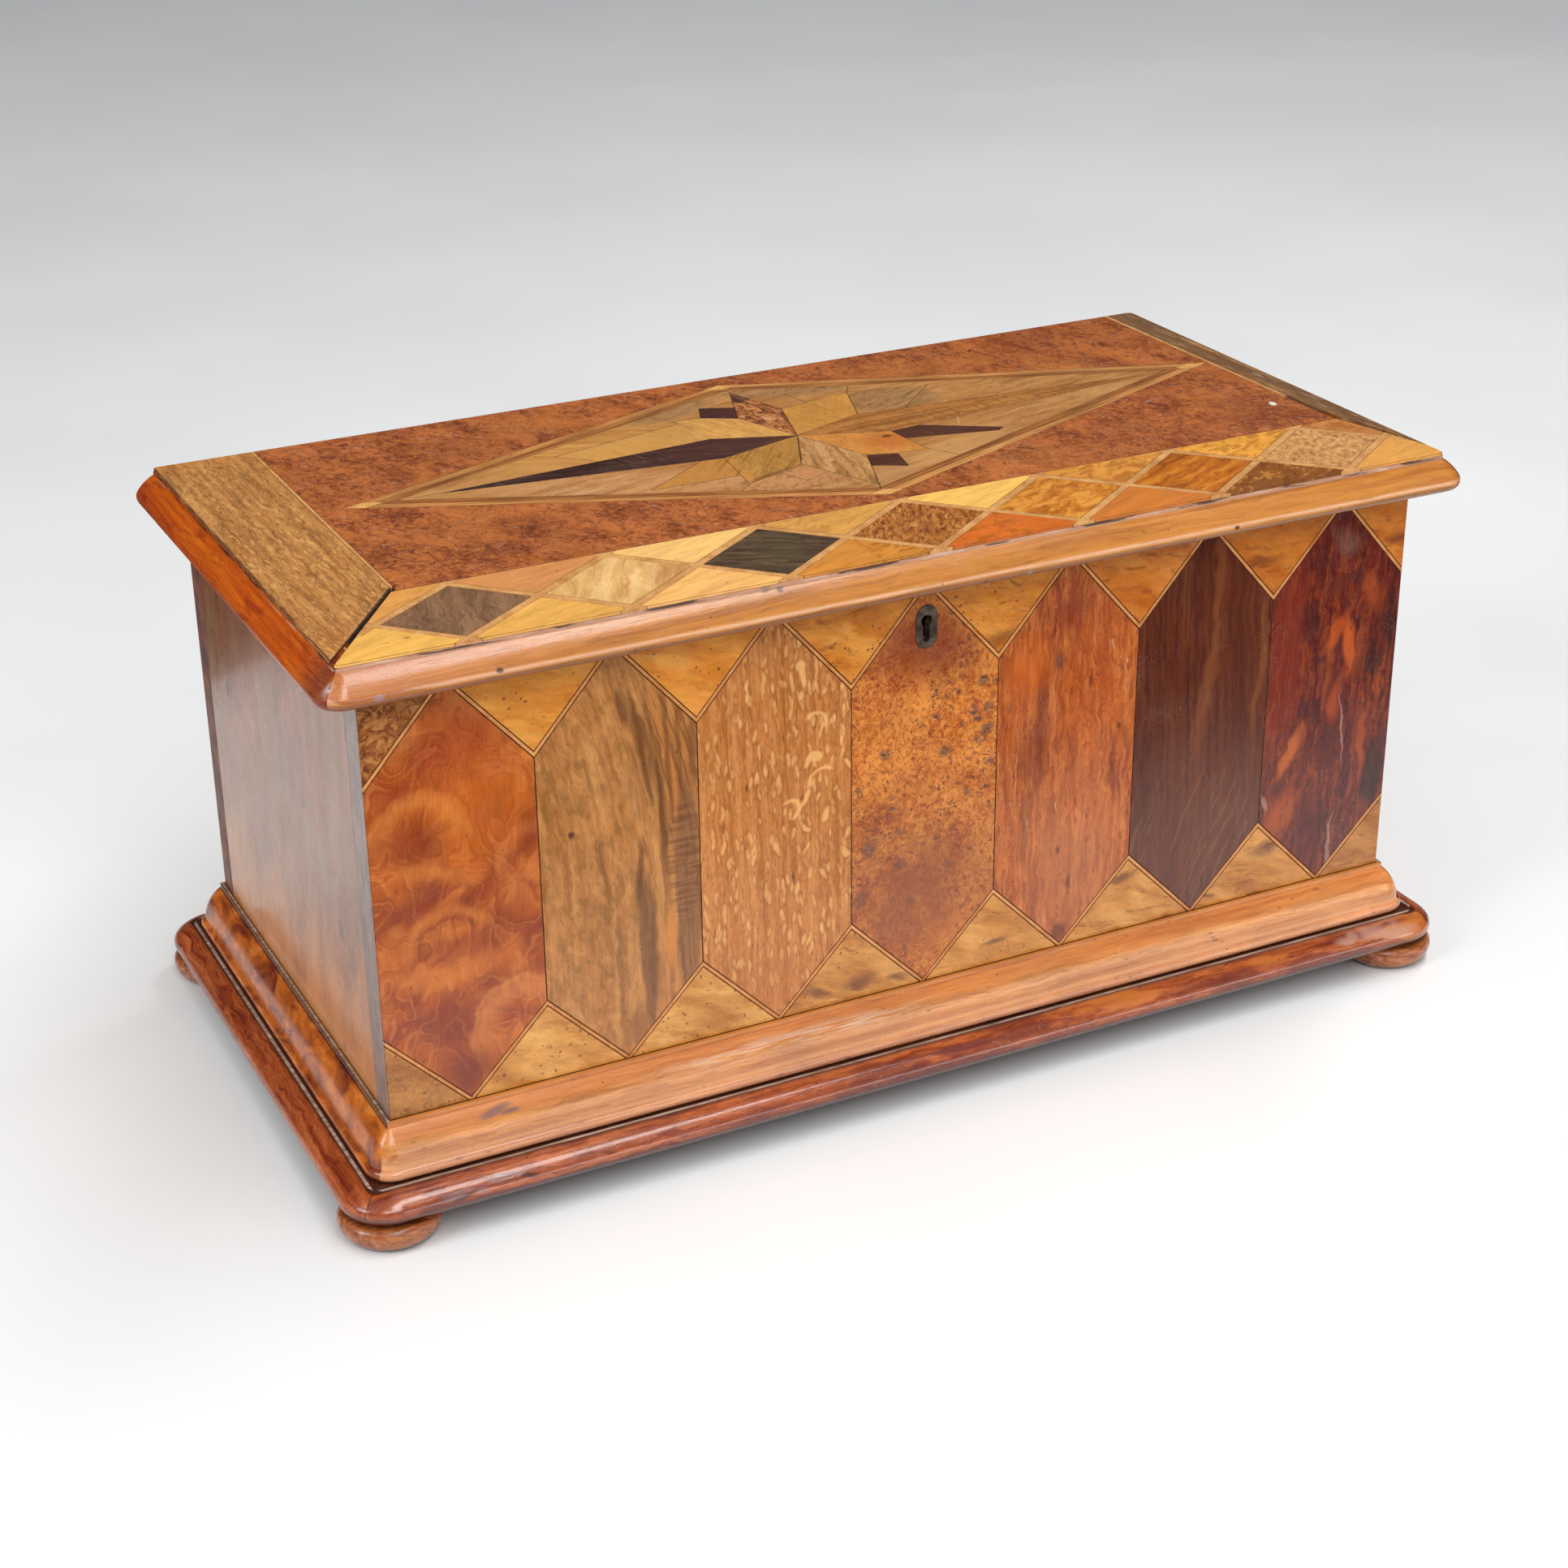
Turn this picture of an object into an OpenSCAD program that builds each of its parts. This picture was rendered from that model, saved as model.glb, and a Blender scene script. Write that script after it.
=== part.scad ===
/* [Carcase] */
// Outside width of the carcase, left to right
body_w = 400; // [396:1:406]
// Outside depth of the carcase, front veneer to back
body_d = 190; // [186:1:196]
// Height of the carcase's top edge above the surface that the box stands on
body_top = 191.2; // [188:0.2:196]
// Thickness of the front board, without its veneer
front_t = 12; // [12:0.5:13]
// Thickness of the back board
back_t = 11; // [11:0.5:13]
// Thickness of the two end boards
end_t = 11; // [9:0.5:13]
// Thickness of the bottom board
bottom_t = 6.5; // [5:0.5:8]
// Thickness of every veneer
veneer_t = 1; // [0.8:0.1:1.2]

/* [Base] */
// Radius of a bun foot at its widest
foot_r = 17.6; // [16.6:0.2:18.2]
// Height of a bun foot, which is the height of the plinth's underside
foot_h = 10.6; // [10.4:0.1:11]
// Distance of a foot's centre outside the carcase's corner, in X and in Y
foot_out = 4; // [2:0.5:5]
// How far the plinth stands out past the carcase
plinth_out = 20.8; // [20:0.2:22]
// How far the ogee moulding above the plinth stands out
ogee_out = 10.4; // [9.6:0.2:11]

/* [Lid] */
// Thickness of the lid's board
lid_board_t = 13; // [13:0.2:14]
// How far the lid's flat top face stands out past the carcase
lid_top_out = 8; // [7.2:0.2:8.8]
// How far the nose of the lid's moulding stands out
lid_nose_out = 15.2; // [14.6:0.2:16]
// Gap under the closed lid, between its underside and the carcase
lid_gap = 0.2; // [0.1:0.05:0.3]

/* [Front marquetry] */
// Height of the hexagons' upper shoulders
shoulder_top = 158.8; // [156:0.2:162]
// Height of the hexagons' lower shoulders
shoulder_low = 67.8; // [66:0.2:72]
// Width of the stringing line along the slanted joints
line_w = 1.3; // [1:0.1:1.8]
// Open joint left on each side of a stringing line
joint_w = 0.12; // [0.05:0.01:0.2]

/* [Lid marquetry] */
// Width of the light outer line of the big rhombus
rhomb_light = 3.7; // [2.8:0.1:4]
// Width of the brown inner line of the big rhombus
rhomb_brown = 3.4; // [2.6:0.1:4]
// Distance between the centres of two lozenges
lozenge_pitch = 55.3; // [55:0.1:55.5]
// Width of the stringing between the lozenges
lattice_w = 2.7; // [2.4:0.1:4.4]

/* [Lock and hinges] */
// Height of the key pin, below the carcase's top edge
key_drop = 13.8; // [13.4:0.2:14.2]
// Length of each butt hinge
hinge_l = 40; // [36:2:44]
// Distance of each hinge's middle from the box's middle
hinge_x = 130; // [110:5:150]
// Radius of the hinge pins
pin_r = 1; // [0.9:0.05:1.1]
// Running clearance of the hinge pins, on the radius
pin_clear = 0.05; // [0.02:0.01:0.08]

/* [Hidden] */

hexagons = 7;
hx = body_w / 2;
hy = body_d / 2;
plinth_z = foot_h;
plinth_top = foot_h + 9.9;
ogee_top = plinth_top + 18.1;
lid_z = body_top + lid_gap;
lid_board_top = lid_z + lid_board_t;
lid_top = lid_board_top + veneer_t;
base_oc = 4;
ogee_oc = 0.8;
lid_oc = 6;
lid_in = -2;
front_y = -hy + veneer_t;
key_z = body_top - key_drop;
hinge_y = hy + 1.5;
hinge_z = body_top + lid_gap / 2;
knuckle_r = 2.1;
leaf_t = 1.2;
leaf_w = 9.5;
clr = 0.1;
round_fn = 96;

// ---------- helpers ----------

// Centre of a circle of radius R that passes through p and holds the circle (n, r) against its inside
function shoulder_c(p, n, R, r) =
    let (d = norm(p - n), u = (p - n) / d,
         a = ((R - r) * (R - r) - R * R + d * d) / (2 * d),
         h = sqrt((R - r) * (R - r) - a * a))
    n + a * u + h * [-abs(u[1]), -abs(u[0])];

// Four corners of a straight strip of width w from p to q, made longer by e at each end
function strip(p, q, w, e = 0) =
    let (d = (q - p) / norm(q - p), m = [-d[1], d[0]] * w / 2)
    [p - d * e + m, q + d * e + m, q + d * e - m, p - d * e - m];

// Polygon p with every side moved inwards by d, or outwards where d is below 0
function turn(p) = let (n = len(p)) [for (i = [0:n - 1]) p[i][0] * p[(i + 1) % n][1] - p[(i + 1) % n][0] * p[i][1]] * [for (i = [0:n - 1]) 1];
function moved(p, q, d) = let (u = (q - p) / norm(q - p), m = [-u[1], u[0]] * d) [p + m, q + m];
function inset(p, d) = let (n = len(p), e = turn(p) > 0 ? d : -d)
    [for (i = [0:n - 1]) let (a = moved(p[(i + n - 1) % n], p[i], e), b = moved(p[i], p[(i + 1) % n], e)) meet(a[0], a[1], b[0], b[1])];

// Where the line p-q meets the line r-s
function meet(p, q, r, s) =
    let (a = q - p, b = s - r, k = a[0] * b[1] - a[1] * b[0],
         t = ((r[0] - p[0]) * b[1] - (r[1] - p[1]) * b[0]) / k)
    p + t * a;

// A moulding of the section given as a child, [distance past the carcase, height], along one side,
// with rounded plan corners centred oc past the carcase's corner, mitred at both ends
module back_run(oc, reach, inner, z0, z1) {
    intersection() {
        union() {
            translate([-(hx + oc), 0, 0]) rotate([90, 0, 90]) linear_extrude(2 * (hx + oc)) translate([hy, 0]) children(0);
            for (s = [0, 1]) mirror([s, 0, 0]) translate([hx + oc, hy + oc, 0])
                rotate_extrude(angle = 90, $fn = round_fn) intersection() {
                    translate([-oc, 0]) children(0);
                    translate([0, z0 - 1]) square([reach + 40, z1 - z0 + 2]);
                }
        }
        translate([0, 0, z0 - 1]) linear_extrude(z1 - z0 + 2)
            polygon([[-(hx - inner), hy - inner], [hx - inner, hy - inner],
                     [hx + reach + 5, hy + reach + 5], [-(hx + reach + 5), hy + reach + 5]]);
    }
}

module right_run(oc, reach, inner, z0, z1) {
    intersection() {
        union() {
            translate([0, hy + oc, 0]) rotate([90, 0, 0]) linear_extrude(2 * (hy + oc)) translate([hx, 0]) children(0);
            for (s = [0, 1]) mirror([0, s, 0]) translate([hx + oc, hy + oc, 0])
                rotate_extrude(angle = 90, $fn = round_fn) intersection() {
                    translate([-oc, 0]) children(0);
                    translate([0, z0 - 1]) square([reach + 40, z1 - z0 + 2]);
                }
        }
        translate([0, 0, z0 - 1]) linear_extrude(z1 - z0 + 2)
            polygon([[hx - inner, hy - inner], [hx - inner, -(hy - inner)],
                     [hx + reach + 5, -(hy + reach + 5)], [hx + reach + 5, hy + reach + 5]]);
    }
}

// Everything inside the carcase's outline
module carcase_block(z0, z1) translate([-hx, -hy, z0]) cube([body_w, body_d, z1 - z0]);

// ---------- sections of the mouldings: x is the distance past the carcase ----------

module ogee_section() {
    p = [2.1, ogee_top - 1.7];
    n = [ogee_out - 2, plinth_top + 2.1];
    q = [ogee_out - 1.7, plinth_top + 4.4];
    // fillet against the carcase
    translate([-1, plinth_top]) square([2.8, ogee_top - plinth_top]);
    // swelling face
    intersection() {
        translate(shoulder_c(p, q + [-1.2, 0], 17, 1.2)) circle(17, $fn = 192);
        polygon([[-1, plinth_top], [-1, p[1]], p, [14, p[1]], [14, q[1]], [q[0] - 0.4, q[1] - 1.2], [q[0] - 0.4, plinth_top]]);
    }
    // bead at the foot
    translate(n) circle(2, $fn = 48);
    translate([-1, plinth_top]) square([n[0] + 1, 3.4]);
}

module plinth_section() {
    p = [12.8, plinth_top - 0.4];
    n = [plinth_out - 3.8, plinth_z + 3.8];
    c = shoulder_c(p, n, 10, 3.8);
    translate([-20, plinth_z]) square([20 + p[0], plinth_top - plinth_z]);
    translate([-20, plinth_z]) square([20 + n[0], 3.8]);
    translate(n) circle(3.8, $fn = 64);
    intersection() {
        translate(c) circle(10, $fn = 128);
        polygon([[0, plinth_z], [0, p[1]], p, [30, p[1]], c + 40 * (n - c) / norm(n - c), n, [n[0], plinth_z]]);
    }
}

module lid_section() {
    p = [lid_top_out + 0.4, lid_board_top - 1.4];
    n = [lid_nose_out - 3, lid_z + 4];
    c = shoulder_c(p, n, 20, 3);
    polygon([[lid_in, lid_z], [lid_in, lid_board_top], [lid_top_out + 0.2, lid_board_top], p, [p[0], n[1]], n, [n[0], lid_z + 1], [7, lid_z]]);
    translate(n) circle(3, $fn = 64);
    intersection() {
        translate(c) circle(20, $fn = 192);
        polygon([[0, n[1]], [0, p[1]], p, [30, p[1]], c + 40 * (n - c) / norm(n - c), n]);
    }
}

// ---------- carcase ----------

module front_board() color("saddlebrown") difference() {
    translate([-hx, front_y, plinth_top]) cube([body_w, front_t, body_top - plinth_top]);
    lock_mortise();
    keyhole_cut(front_y - 1, front_y + front_t);
    escutcheon_cut(front_y - 1, 1.4 + 1, 0.06);
    for (s = [-1, 1], z = [key_z - 14.2, key_z + 6.2])
        translate([s * 23.5, front_y + front_t + 1, z]) rotate([90, 0, 0]) cylinder(h = 9.6, r = 1.1, $fn = 32);
}

module back_board() color("saddlebrown") difference() {
    translate([-hx, hy - back_t, plinth_top]) cube([body_w, back_t, body_top - plinth_top]);
    for (s = [-1, 1]) translate([s * hinge_x, 0, 0]) {
        translate([-hinge_l / 2 - clr, hinge_y - leaf_w - clr, hinge_z - leaf_t - 0.3]) cube([hinge_l + 2 * clr, leaf_w, 3]);
        translate([-hinge_l / 2 - clr, hinge_y, hinge_z]) rotate([0, 90, 0]) cylinder(h = hinge_l + 2 * clr, r = knuckle_r + 0.3, $fn = 64);
        for (i = [-1, 0, 1]) translate([i * 14, hinge_y - 6.3, body_top - 9.6]) cylinder(h = 9, r = 1.1, $fn = 32);
    }
}

module end_board() translate([hx - end_t, front_y + front_t, plinth_top])
    cube([end_t, body_d - veneer_t - front_t - back_t, body_top - plinth_top]);

module right_end_board() color("sienna") end_board();
module left_end_board() color("sienna") mirror([1, 0, 0]) end_board();

module bottom_board() color("peru")
    translate([-hx + end_t, front_y + front_t, plinth_top])
        cube([body_w - 2 * end_t, body_d - veneer_t - front_t - back_t, bottom_t]);

// ---------- base ----------

module ogee_back_shape() difference() {
    back_run(ogee_oc, ogee_out, 0.5, plinth_top, ogee_top) ogee_section();
    carcase_block(plinth_top - 1, ogee_top + 1);
}
module ogee_right_shape() difference() {
    right_run(ogee_oc, ogee_out, 0.5, plinth_top, ogee_top) ogee_section();
    carcase_block(plinth_top - 1, ogee_top + 1);
}
module ogee_moulding_back() color("peru") ogee_back_shape();
module ogee_moulding_front() color("peru") mirror([0, 1, 0]) ogee_back_shape();
module ogee_moulding_right() color("chocolate") ogee_right_shape();
module ogee_moulding_left() color("chocolate") mirror([1, 0, 0]) ogee_right_shape();

module dowel_holes() for (sx = [-1, 1], sy = [-1, 1])
    translate([sx * (hx + foot_out), sy * (hy + foot_out), plinth_z - 1]) cylinder(h = 7, r = 3.55, $fn = 48);

module plinth_back_shape() difference() {
    back_run(base_oc, plinth_out, 20, plinth_z, plinth_top) plinth_section();
    dowel_holes();
}
module plinth_right_shape() difference() {
    right_run(base_oc, plinth_out, 20, plinth_z, plinth_top) plinth_section();
    dowel_holes();
}
module plinth_back() color("brown") plinth_back_shape();
module plinth_front() color("brown") mirror([0, 1, 0]) plinth_back_shape();
module plinth_right() color("brown") plinth_right_shape();
module plinth_left() color("brown") mirror([1, 0, 0]) plinth_right_shape();

// A turned bun foot with its spigot
module bun_foot() rotate_extrude($fn = round_fn) {
    zm = foot_h - 3.9;
    translate([foot_r - 2.9, zm]) intersection() {
        circle(2.9, $fn = 48);
        translate([-4, 0]) square([8, 8]);
    }
    intersection() {
        translate([foot_r - 7.2, zm]) circle(7.2, $fn = 96);
        translate([0, 0.8]) square([foot_r + 1, zm - 0.8]);
    }
    translate([0, 0.8]) square([foot_r - 7.2, zm - 0.8]);
    translate([0, zm]) square([foot_r - 2.9, 2.9]);
    translate([0, zm]) square([foot_r - 4.6, foot_h - zm]);
    square([foot_r - 6.2, 1.2]);
    translate([0, foot_h - 1]) square([3.5, 6.6]);
}
module foot_at(sx, sy) color("peru") translate([sx * (hx + foot_out), sy * (hy + foot_out), 0]) bun_foot();
module bun_foot_front_left() foot_at(-1, -1);
module bun_foot_front_right() foot_at(1, -1);
module bun_foot_back_left() foot_at(-1, 1);
module bun_foot_back_right() foot_at(1, 1);

// ---------- marquetry of the front ----------

pitch = body_w / hexagons;
slope_up = (body_top - shoulder_top) / (pitch / 2);
slope_low = (shoulder_low - ogee_top) / (pitch / 2);
// height of the upper and lower zigzag lines, at the joints and at the middles
function zig_up(i) = i % 2 == 0 ? shoulder_top : body_top;
function zig_low(i) = i % 2 == 0 ? shoulder_low : ogee_top;
function zig_x(i) = -hx + i * pitch / 2;
shift_up = (line_w / 2 + joint_w) * sqrt(1 + slope_up * slope_up);
shift_low = (line_w / 2 + joint_w) * sqrt(1 + slope_low * slope_low);
half_up = line_w / 2 * sqrt(1 + slope_up * slope_up);
half_low = line_w / 2 * sqrt(1 + slope_low * slope_low);

module on_front(y0 = 0) translate([0, front_y + y0, 0]) rotate([90, 0, 0]) linear_extrude(veneer_t) children();
module front_outline() translate([-hx, ogee_top]) square([body_w, body_top - ogee_top]);

module hexagon(i) {
    xl = zig_x(2 * i) + (i == 0 ? 0 : joint_w / 2);
    xr = zig_x(2 * i + 2) - (i == hexagons - 1 ? 0 : joint_w / 2);
    xm = zig_x(2 * i + 1);
    on_front() intersection() {
        front_outline();
        polygon([[xl, shoulder_low + shift_low], [xm, ogee_top + shift_low], [xr, shoulder_low + shift_low],
                 [xr, shoulder_top - shift_up], [xm, body_top - shift_up], [xl, shoulder_top - shift_up]]);
    }
}
module hexagon_mahogany() color("sienna") hexagon(0);
module hexagon_walnut() color("peru") hexagon(1);
module hexagon_oak() color("chocolate") hexagon(2);
module hexagon_burr() color("darkorange") difference() {
    hexagon(3);
    escutcheon_cut(-hy - 1, veneer_t + 2, 0.06);
}
module hexagon_padauk() color("orangered") hexagon(4);
module hexagon_rosewood() color("#4a2a2a") hexagon(5);
module hexagon_kingwood() color("firebrick") hexagon(6);

module front_triangles() color("goldenrod") {
    on_front() intersection() {
        front_outline();
        polygon(concat([for (i = [0:2 * hexagons]) [zig_x(i), zig_up(i) + shift_up]],
                       [[hx, body_top + 9], [-hx, body_top + 9]]));
    }
    on_front() intersection() {
        front_outline();
        polygon(concat([for (i = [0:2 * hexagons]) [zig_x(i), zig_low(i) - shift_low]],
                       [[hx, ogee_top - 9], [-hx, ogee_top - 9]]));
    }
}

module front_stringing() color("sandybrown") {
    on_front() intersection() {
        front_outline();
        polygon(concat([for (i = [0:2 * hexagons]) [zig_x(i), zig_up(i) + half_up]],
                       [for (i = [2 * hexagons:-1:0]) [zig_x(i), zig_up(i) - half_up]]));
    }
    on_front() intersection() {
        front_outline();
        polygon(concat([for (i = [0:2 * hexagons]) [zig_x(i), zig_low(i) + half_low]],
                       [for (i = [2 * hexagons:-1:0]) [zig_x(i), zig_low(i) - half_low]]));
    }
}

// ---------- lock ----------

key_r = 2.1;
key_slot = 2.6;
esc_w = 8;
esc_up = 5.6;
esc_down = 10;
case_x = 21;
case_z0 = key_z - 17.4;
sel_t = 1.5;
sel_z = body_top - clr - sel_t;
inner_y = front_y + front_t;
link_x = 11;
link_y = inner_y - 5.4;

module keyhole_shape() {
    circle(key_r, $fn = 48);
    translate([-key_slot / 2, -6.4]) square([key_slot, 6.4]);
    translate([0, -6.4]) circle(key_slot / 2, $fn = 32);
}
module keyhole_cut(y0, y1) translate([0, y1, key_z]) rotate([90, 0, 0]) linear_extrude(y1 - y0) keyhole_shape();
module escutcheon_shape(e) {
    translate([0, esc_up - esc_w / 2]) circle(esc_w / 2 + e, $fn = 64);
    translate([0, -esc_down + esc_w / 2]) circle(esc_w / 2 + e, $fn = 64);
    translate([-esc_w / 2 - e, -esc_down + esc_w / 2]) square([esc_w + 2 * e, esc_up + esc_down - esc_w]);
}
module escutcheon_cut(y0, depth, e) translate([0, y0 + depth, key_z]) rotate([90, 0, 0]) linear_extrude(depth) escutcheon_shape(e);
module escutcheon() color("dimgray") difference() {
    translate([0, front_y + 1.3, key_z]) rotate([90, 0, 0]) linear_extrude(veneer_t + 1.4) escutcheon_shape(0);
    keyhole_cut(-hy - 2, front_y + 3);
}

module lock_mortise() {
    // plate let into the inner face, case pocket, selvedge let into the top edge
    translate([-26 - clr, inner_y - 1.2 - clr, key_z - 19.4 - clr]) cube([52 + 2 * clr, 3, 60]);
    translate([-case_x - clr, inner_y - 9.6 - clr, case_z0 - clr]) cube([2 * case_x + 2 * clr, 10, 60]);
    translate([-26 - clr, inner_y - 10.6 - clr, sel_z - clr]) cube([52 + 2 * clr, 12, 60]);
}

// Back plate with the selvedge and the key pin
module lock_plate() color("goldenrod") {
    difference() {
        union() {
            translate([-26, inner_y - 1.2, key_z - 19.4]) cube([52, 1.2, body_top - clr - key_z + 19.4]);
            translate([-26, inner_y - 10.6, sel_z]) cube([52, 10.6, sel_t]);
        }
        for (s = [-1, 1]) translate([s * link_x - 1.6, inner_y - 8.7, sel_z - 1]) cube([3.2, 6.4, 4]);
        for (s = [-1, 1], z = [key_z - 14.2, key_z + 6.2]) translate([s * 23.5, inner_y, z]) rotate([-90, 0, 0]) screw_hole();
    }
    translate([0, inner_y - 1, key_z]) rotate([90, 0, 0]) cylinder(h = 8, r = 1.1, $fn = 32);
}

module lock_case() color("gray") difference() {
    translate([-case_x, inner_y - 9.6, case_z0]) cube([2 * case_x, 8.4 - 0.05, sel_z - case_z0 - 0.05]);
    translate([-case_x + 1, inner_y - 8.6, case_z0 + 1]) cube([2 * case_x - 2, 10, 60]);
    keyhole_cut(inner_y - 11, inner_y - 7);
}

// Bolt with its two prongs, drawn unlocked, it slides towards +X to lock
module lock_bolt() color("silver") {
    y0 = link_y - 1.1;
    difference() {
        translate([-19.6, inner_y - 8.4, key_z - 12]) cube([24.6, 4, 6.1]);
        translate([-2.6, inner_y - 9, key_z - 8.4]) cube([5.2, 6, 4]);
    }
    for (x = [-19.6, 2.4]) translate([x, y0, key_z - 8]) cube([2.6, 2.2, 16]);
    for (x = [-18, 4]) translate([x, y0, key_z + 5.8]) cube([5.6, 2.2, 2.2]);
}

module lock_spring() color("silver") intersection() {
    translate([-7, inner_y - 4.1 + 29, key_z - 11]) difference() {
        cylinder(h = 4, r = 29, $fn = 192);
        translate([0, 0, -1]) cylinder(h = 6, r = 28.6, $fn = 192);
    }
    translate([-25, inner_y - 5, key_z - 12]) cube([36, 5 - 1.25, 6]);
}

// Link plate under the lid, with two eyed links
module link_plate() color("goldenrod") {
    difference() {
        translate([-26, inner_y - 10.6, lid_z + clr]) cube([52, 10.6, sel_t]);
        for (x = [-22, 22]) translate([x, inner_y - 5.4, lid_z + clr]) rotate([180, 0, 0]) screw_hole();
    }
    for (s = [-1, 1]) difference() {
        translate([s * link_x - 1, link_y - 2.6, key_z + 3.1]) cube([2, 5.2, lid_z + clr + 1 - key_z - 3.1]);
        translate([s * link_x - 2, link_y, key_z + 6.9]) rotate([0, 90, 0]) cylinder(h = 4, r = 1.8, $fn = 48);
    }
}

// ---------- screws: the head's top is at z = 0 and the screw points to -z ----------

module screw_hole() {
    translate([0, 0, -4]) cylinder(h = 5, r = 1.25, $fn = 32);
    translate([0, 0, -1.1]) cylinder(h = 1.15, r1 = 1.25, r2 = 2.4, $fn = 32);
}
module screw() difference() {
    union() {
        translate([0, 0, -8]) cylinder(h = 7.2, r = 1.05, $fn = 32);
        translate([0, 0, -1.05]) cylinder(h = 1.05, r1 = 1.05, r2 = 2.2, $fn = 32);
    }
    translate([-3, -0.25, -0.6]) cube([6, 0.5, 1]);
}

module carcase_screws() color("goldenrod") {
    for (s = [-1, 1], i = [-1, 0, 1]) translate([s * hinge_x + i * 14, hinge_y - 6.3, hinge_z - 0.2]) rotate([0, 0, 20 + 50 * i]) screw();
    for (s = [-1, 1], z = [key_z - 14.2, key_z + 6.2]) translate([s * 23.5, inner_y, z]) rotate([-90, 0, 0]) rotate([0, 0, 30 * s]) screw();
}
module lid_screws() color("goldenrod") {
    for (s = [-1, 1], i = [-1, 0, 1]) translate([s * hinge_x + i * 14, hinge_y - 6.3, hinge_z + 0.2]) rotate([180, 0, 40 + 35 * i]) screw();
    for (x = [-22, 22]) translate([x, inner_y - 5.4, lid_z + clr]) rotate([180, 0, x]) screw();
}

// ---------- hinges ----------

kn = hinge_l / 5;
// own = the knuckles of this leaf, up = 1 for the lid's leaf and -1 for the carcase's
module leaf(own, up) {
    difference() {
        union() {
            translate([-hinge_l / 2, hinge_y - leaf_w, up > 0 ? hinge_z + 0.2 : hinge_z - 0.2 - leaf_t])
                cube([hinge_l, leaf_w - knuckle_r - 0.25, leaf_t]);
            for (k = own) translate([-hinge_l / 2 + k * kn + 0.1, 0, 0]) {
                translate([0, hinge_y - knuckle_r - 1, up > 0 ? hinge_z + 0.2 : hinge_z - 0.2 - leaf_t]) cube([kn - 0.2, knuckle_r + 1, leaf_t]);
                translate([0, hinge_y, hinge_z]) rotate([0, 90, 0]) cylinder(h = kn - 0.2, r = knuckle_r, $fn = 64);
            }
        }
        translate([-hinge_l / 2 - 1, hinge_y, hinge_z]) rotate([0, 90, 0]) cylinder(h = hinge_l + 2, r = pin_r + pin_clear, $fn = 48);
        for (i = [-1, 0, 1]) translate([i * 14, hinge_y - 6.3, hinge_z + up * 0.2]) rotate([up > 0 ? 180 : 0, 0, 0]) screw_hole();
    }
}
module hinge_carcase_leaves() color("goldenrod") for (s = [-1, 1]) translate([s * hinge_x, 0, 0]) leaf([0, 2, 4], -1);
module hinge_lid_leaves() color("goldenrod") for (s = [-1, 1]) translate([s * hinge_x, 0, 0]) leaf([1, 3], 1);
module hinge_pins() color("silver") for (s = [-1, 1])
    translate([s * hinge_x - hinge_l / 2 + 0.1, hinge_y, hinge_z]) rotate([0, 90, 0]) cylinder(h = hinge_l - 0.2, r = pin_r, $fn = 48);

// ---------- lid ----------

module lid_hinge_cuts() for (s = [-1, 1]) translate([s * hinge_x, 0, 0]) {
    translate([-hinge_l / 2 - clr, hinge_y - leaf_w - clr, lid_z - 1]) cube([hinge_l + 2 * clr, leaf_w + clr, 1 + leaf_t + 0.3]);
    translate([-hinge_l / 2 - clr, hinge_y, hinge_z]) rotate([0, 90, 0]) cylinder(h = hinge_l + 2 * clr, r = knuckle_r + 0.3, $fn = 64);
    for (i = [-1, 0, 1]) translate([i * 14, hinge_y - 6.3, lid_z + 0.5]) cylinder(h = 8.6, r = 1.1, $fn = 32);
}

module lid_board() color("saddlebrown") difference() {
    translate([-hx - lid_in, -hy - lid_in, lid_z]) cube([body_w + 2 * lid_in, body_d + 2 * lid_in, lid_board_t]);
    lid_hinge_cuts();
    translate([-26 - clr, inner_y - 10.6 - clr, lid_z - 1]) cube([52 + 2 * clr, 10.6 + 2 * clr, 1 + sel_t + 2 * clr]);
    for (x = [-22, 22]) translate([x, inner_y - 5.4, lid_z]) cylinder(h = 9, r = 1.1, $fn = 32);
}

module lid_board_block() translate([-hx - lid_in, -hy - lid_in, lid_z - 1]) cube([body_w + 2 * lid_in, body_d + 2 * lid_in, lid_board_t + 2]);
module lid_back_shape() difference() {
    back_run(lid_oc, lid_nose_out, 2, lid_z, lid_board_top) lid_section();
    lid_board_block();
}
module lid_right_shape() difference() {
    right_run(lid_oc, lid_nose_out, 2, lid_z, lid_board_top) lid_section();
    lid_board_block();
}
module lid_moulding_back() color("peru") difference() {
    lid_back_shape();
    lid_hinge_cuts();
}
module lid_moulding_front() color("peru") mirror([0, 1, 0]) lid_back_shape();
module lid_moulding_right() color("chocolate") lid_right_shape();
module lid_moulding_left() color("chocolate") mirror([1, 0, 0]) lid_right_shape();

// ---------- marquetry of the lid ----------

tx = hx + lid_top_out;
ty = hy + lid_top_out;
top_r = lid_top_out - lid_oc;
band_l = -hx + 29.5;
band_r = hx - 5;
band_r2 = hx - 3;
front_band = -hy + 42;
line_1 = 1.2;

module on_lid() translate([0, 0, lid_board_top]) linear_extrude(veneer_t) children();
module lid_outline() {
    square([2 * (tx - top_r), 2 * ty], center = true);
    square([2 * tx, 2 * (ty - top_r)], center = true);
    for (sx = [-1, 1], sy = [-1, 1]) translate([sx * (tx - top_r), sy * (ty - top_r)]) circle(top_r, $fn = 96);
}

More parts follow.
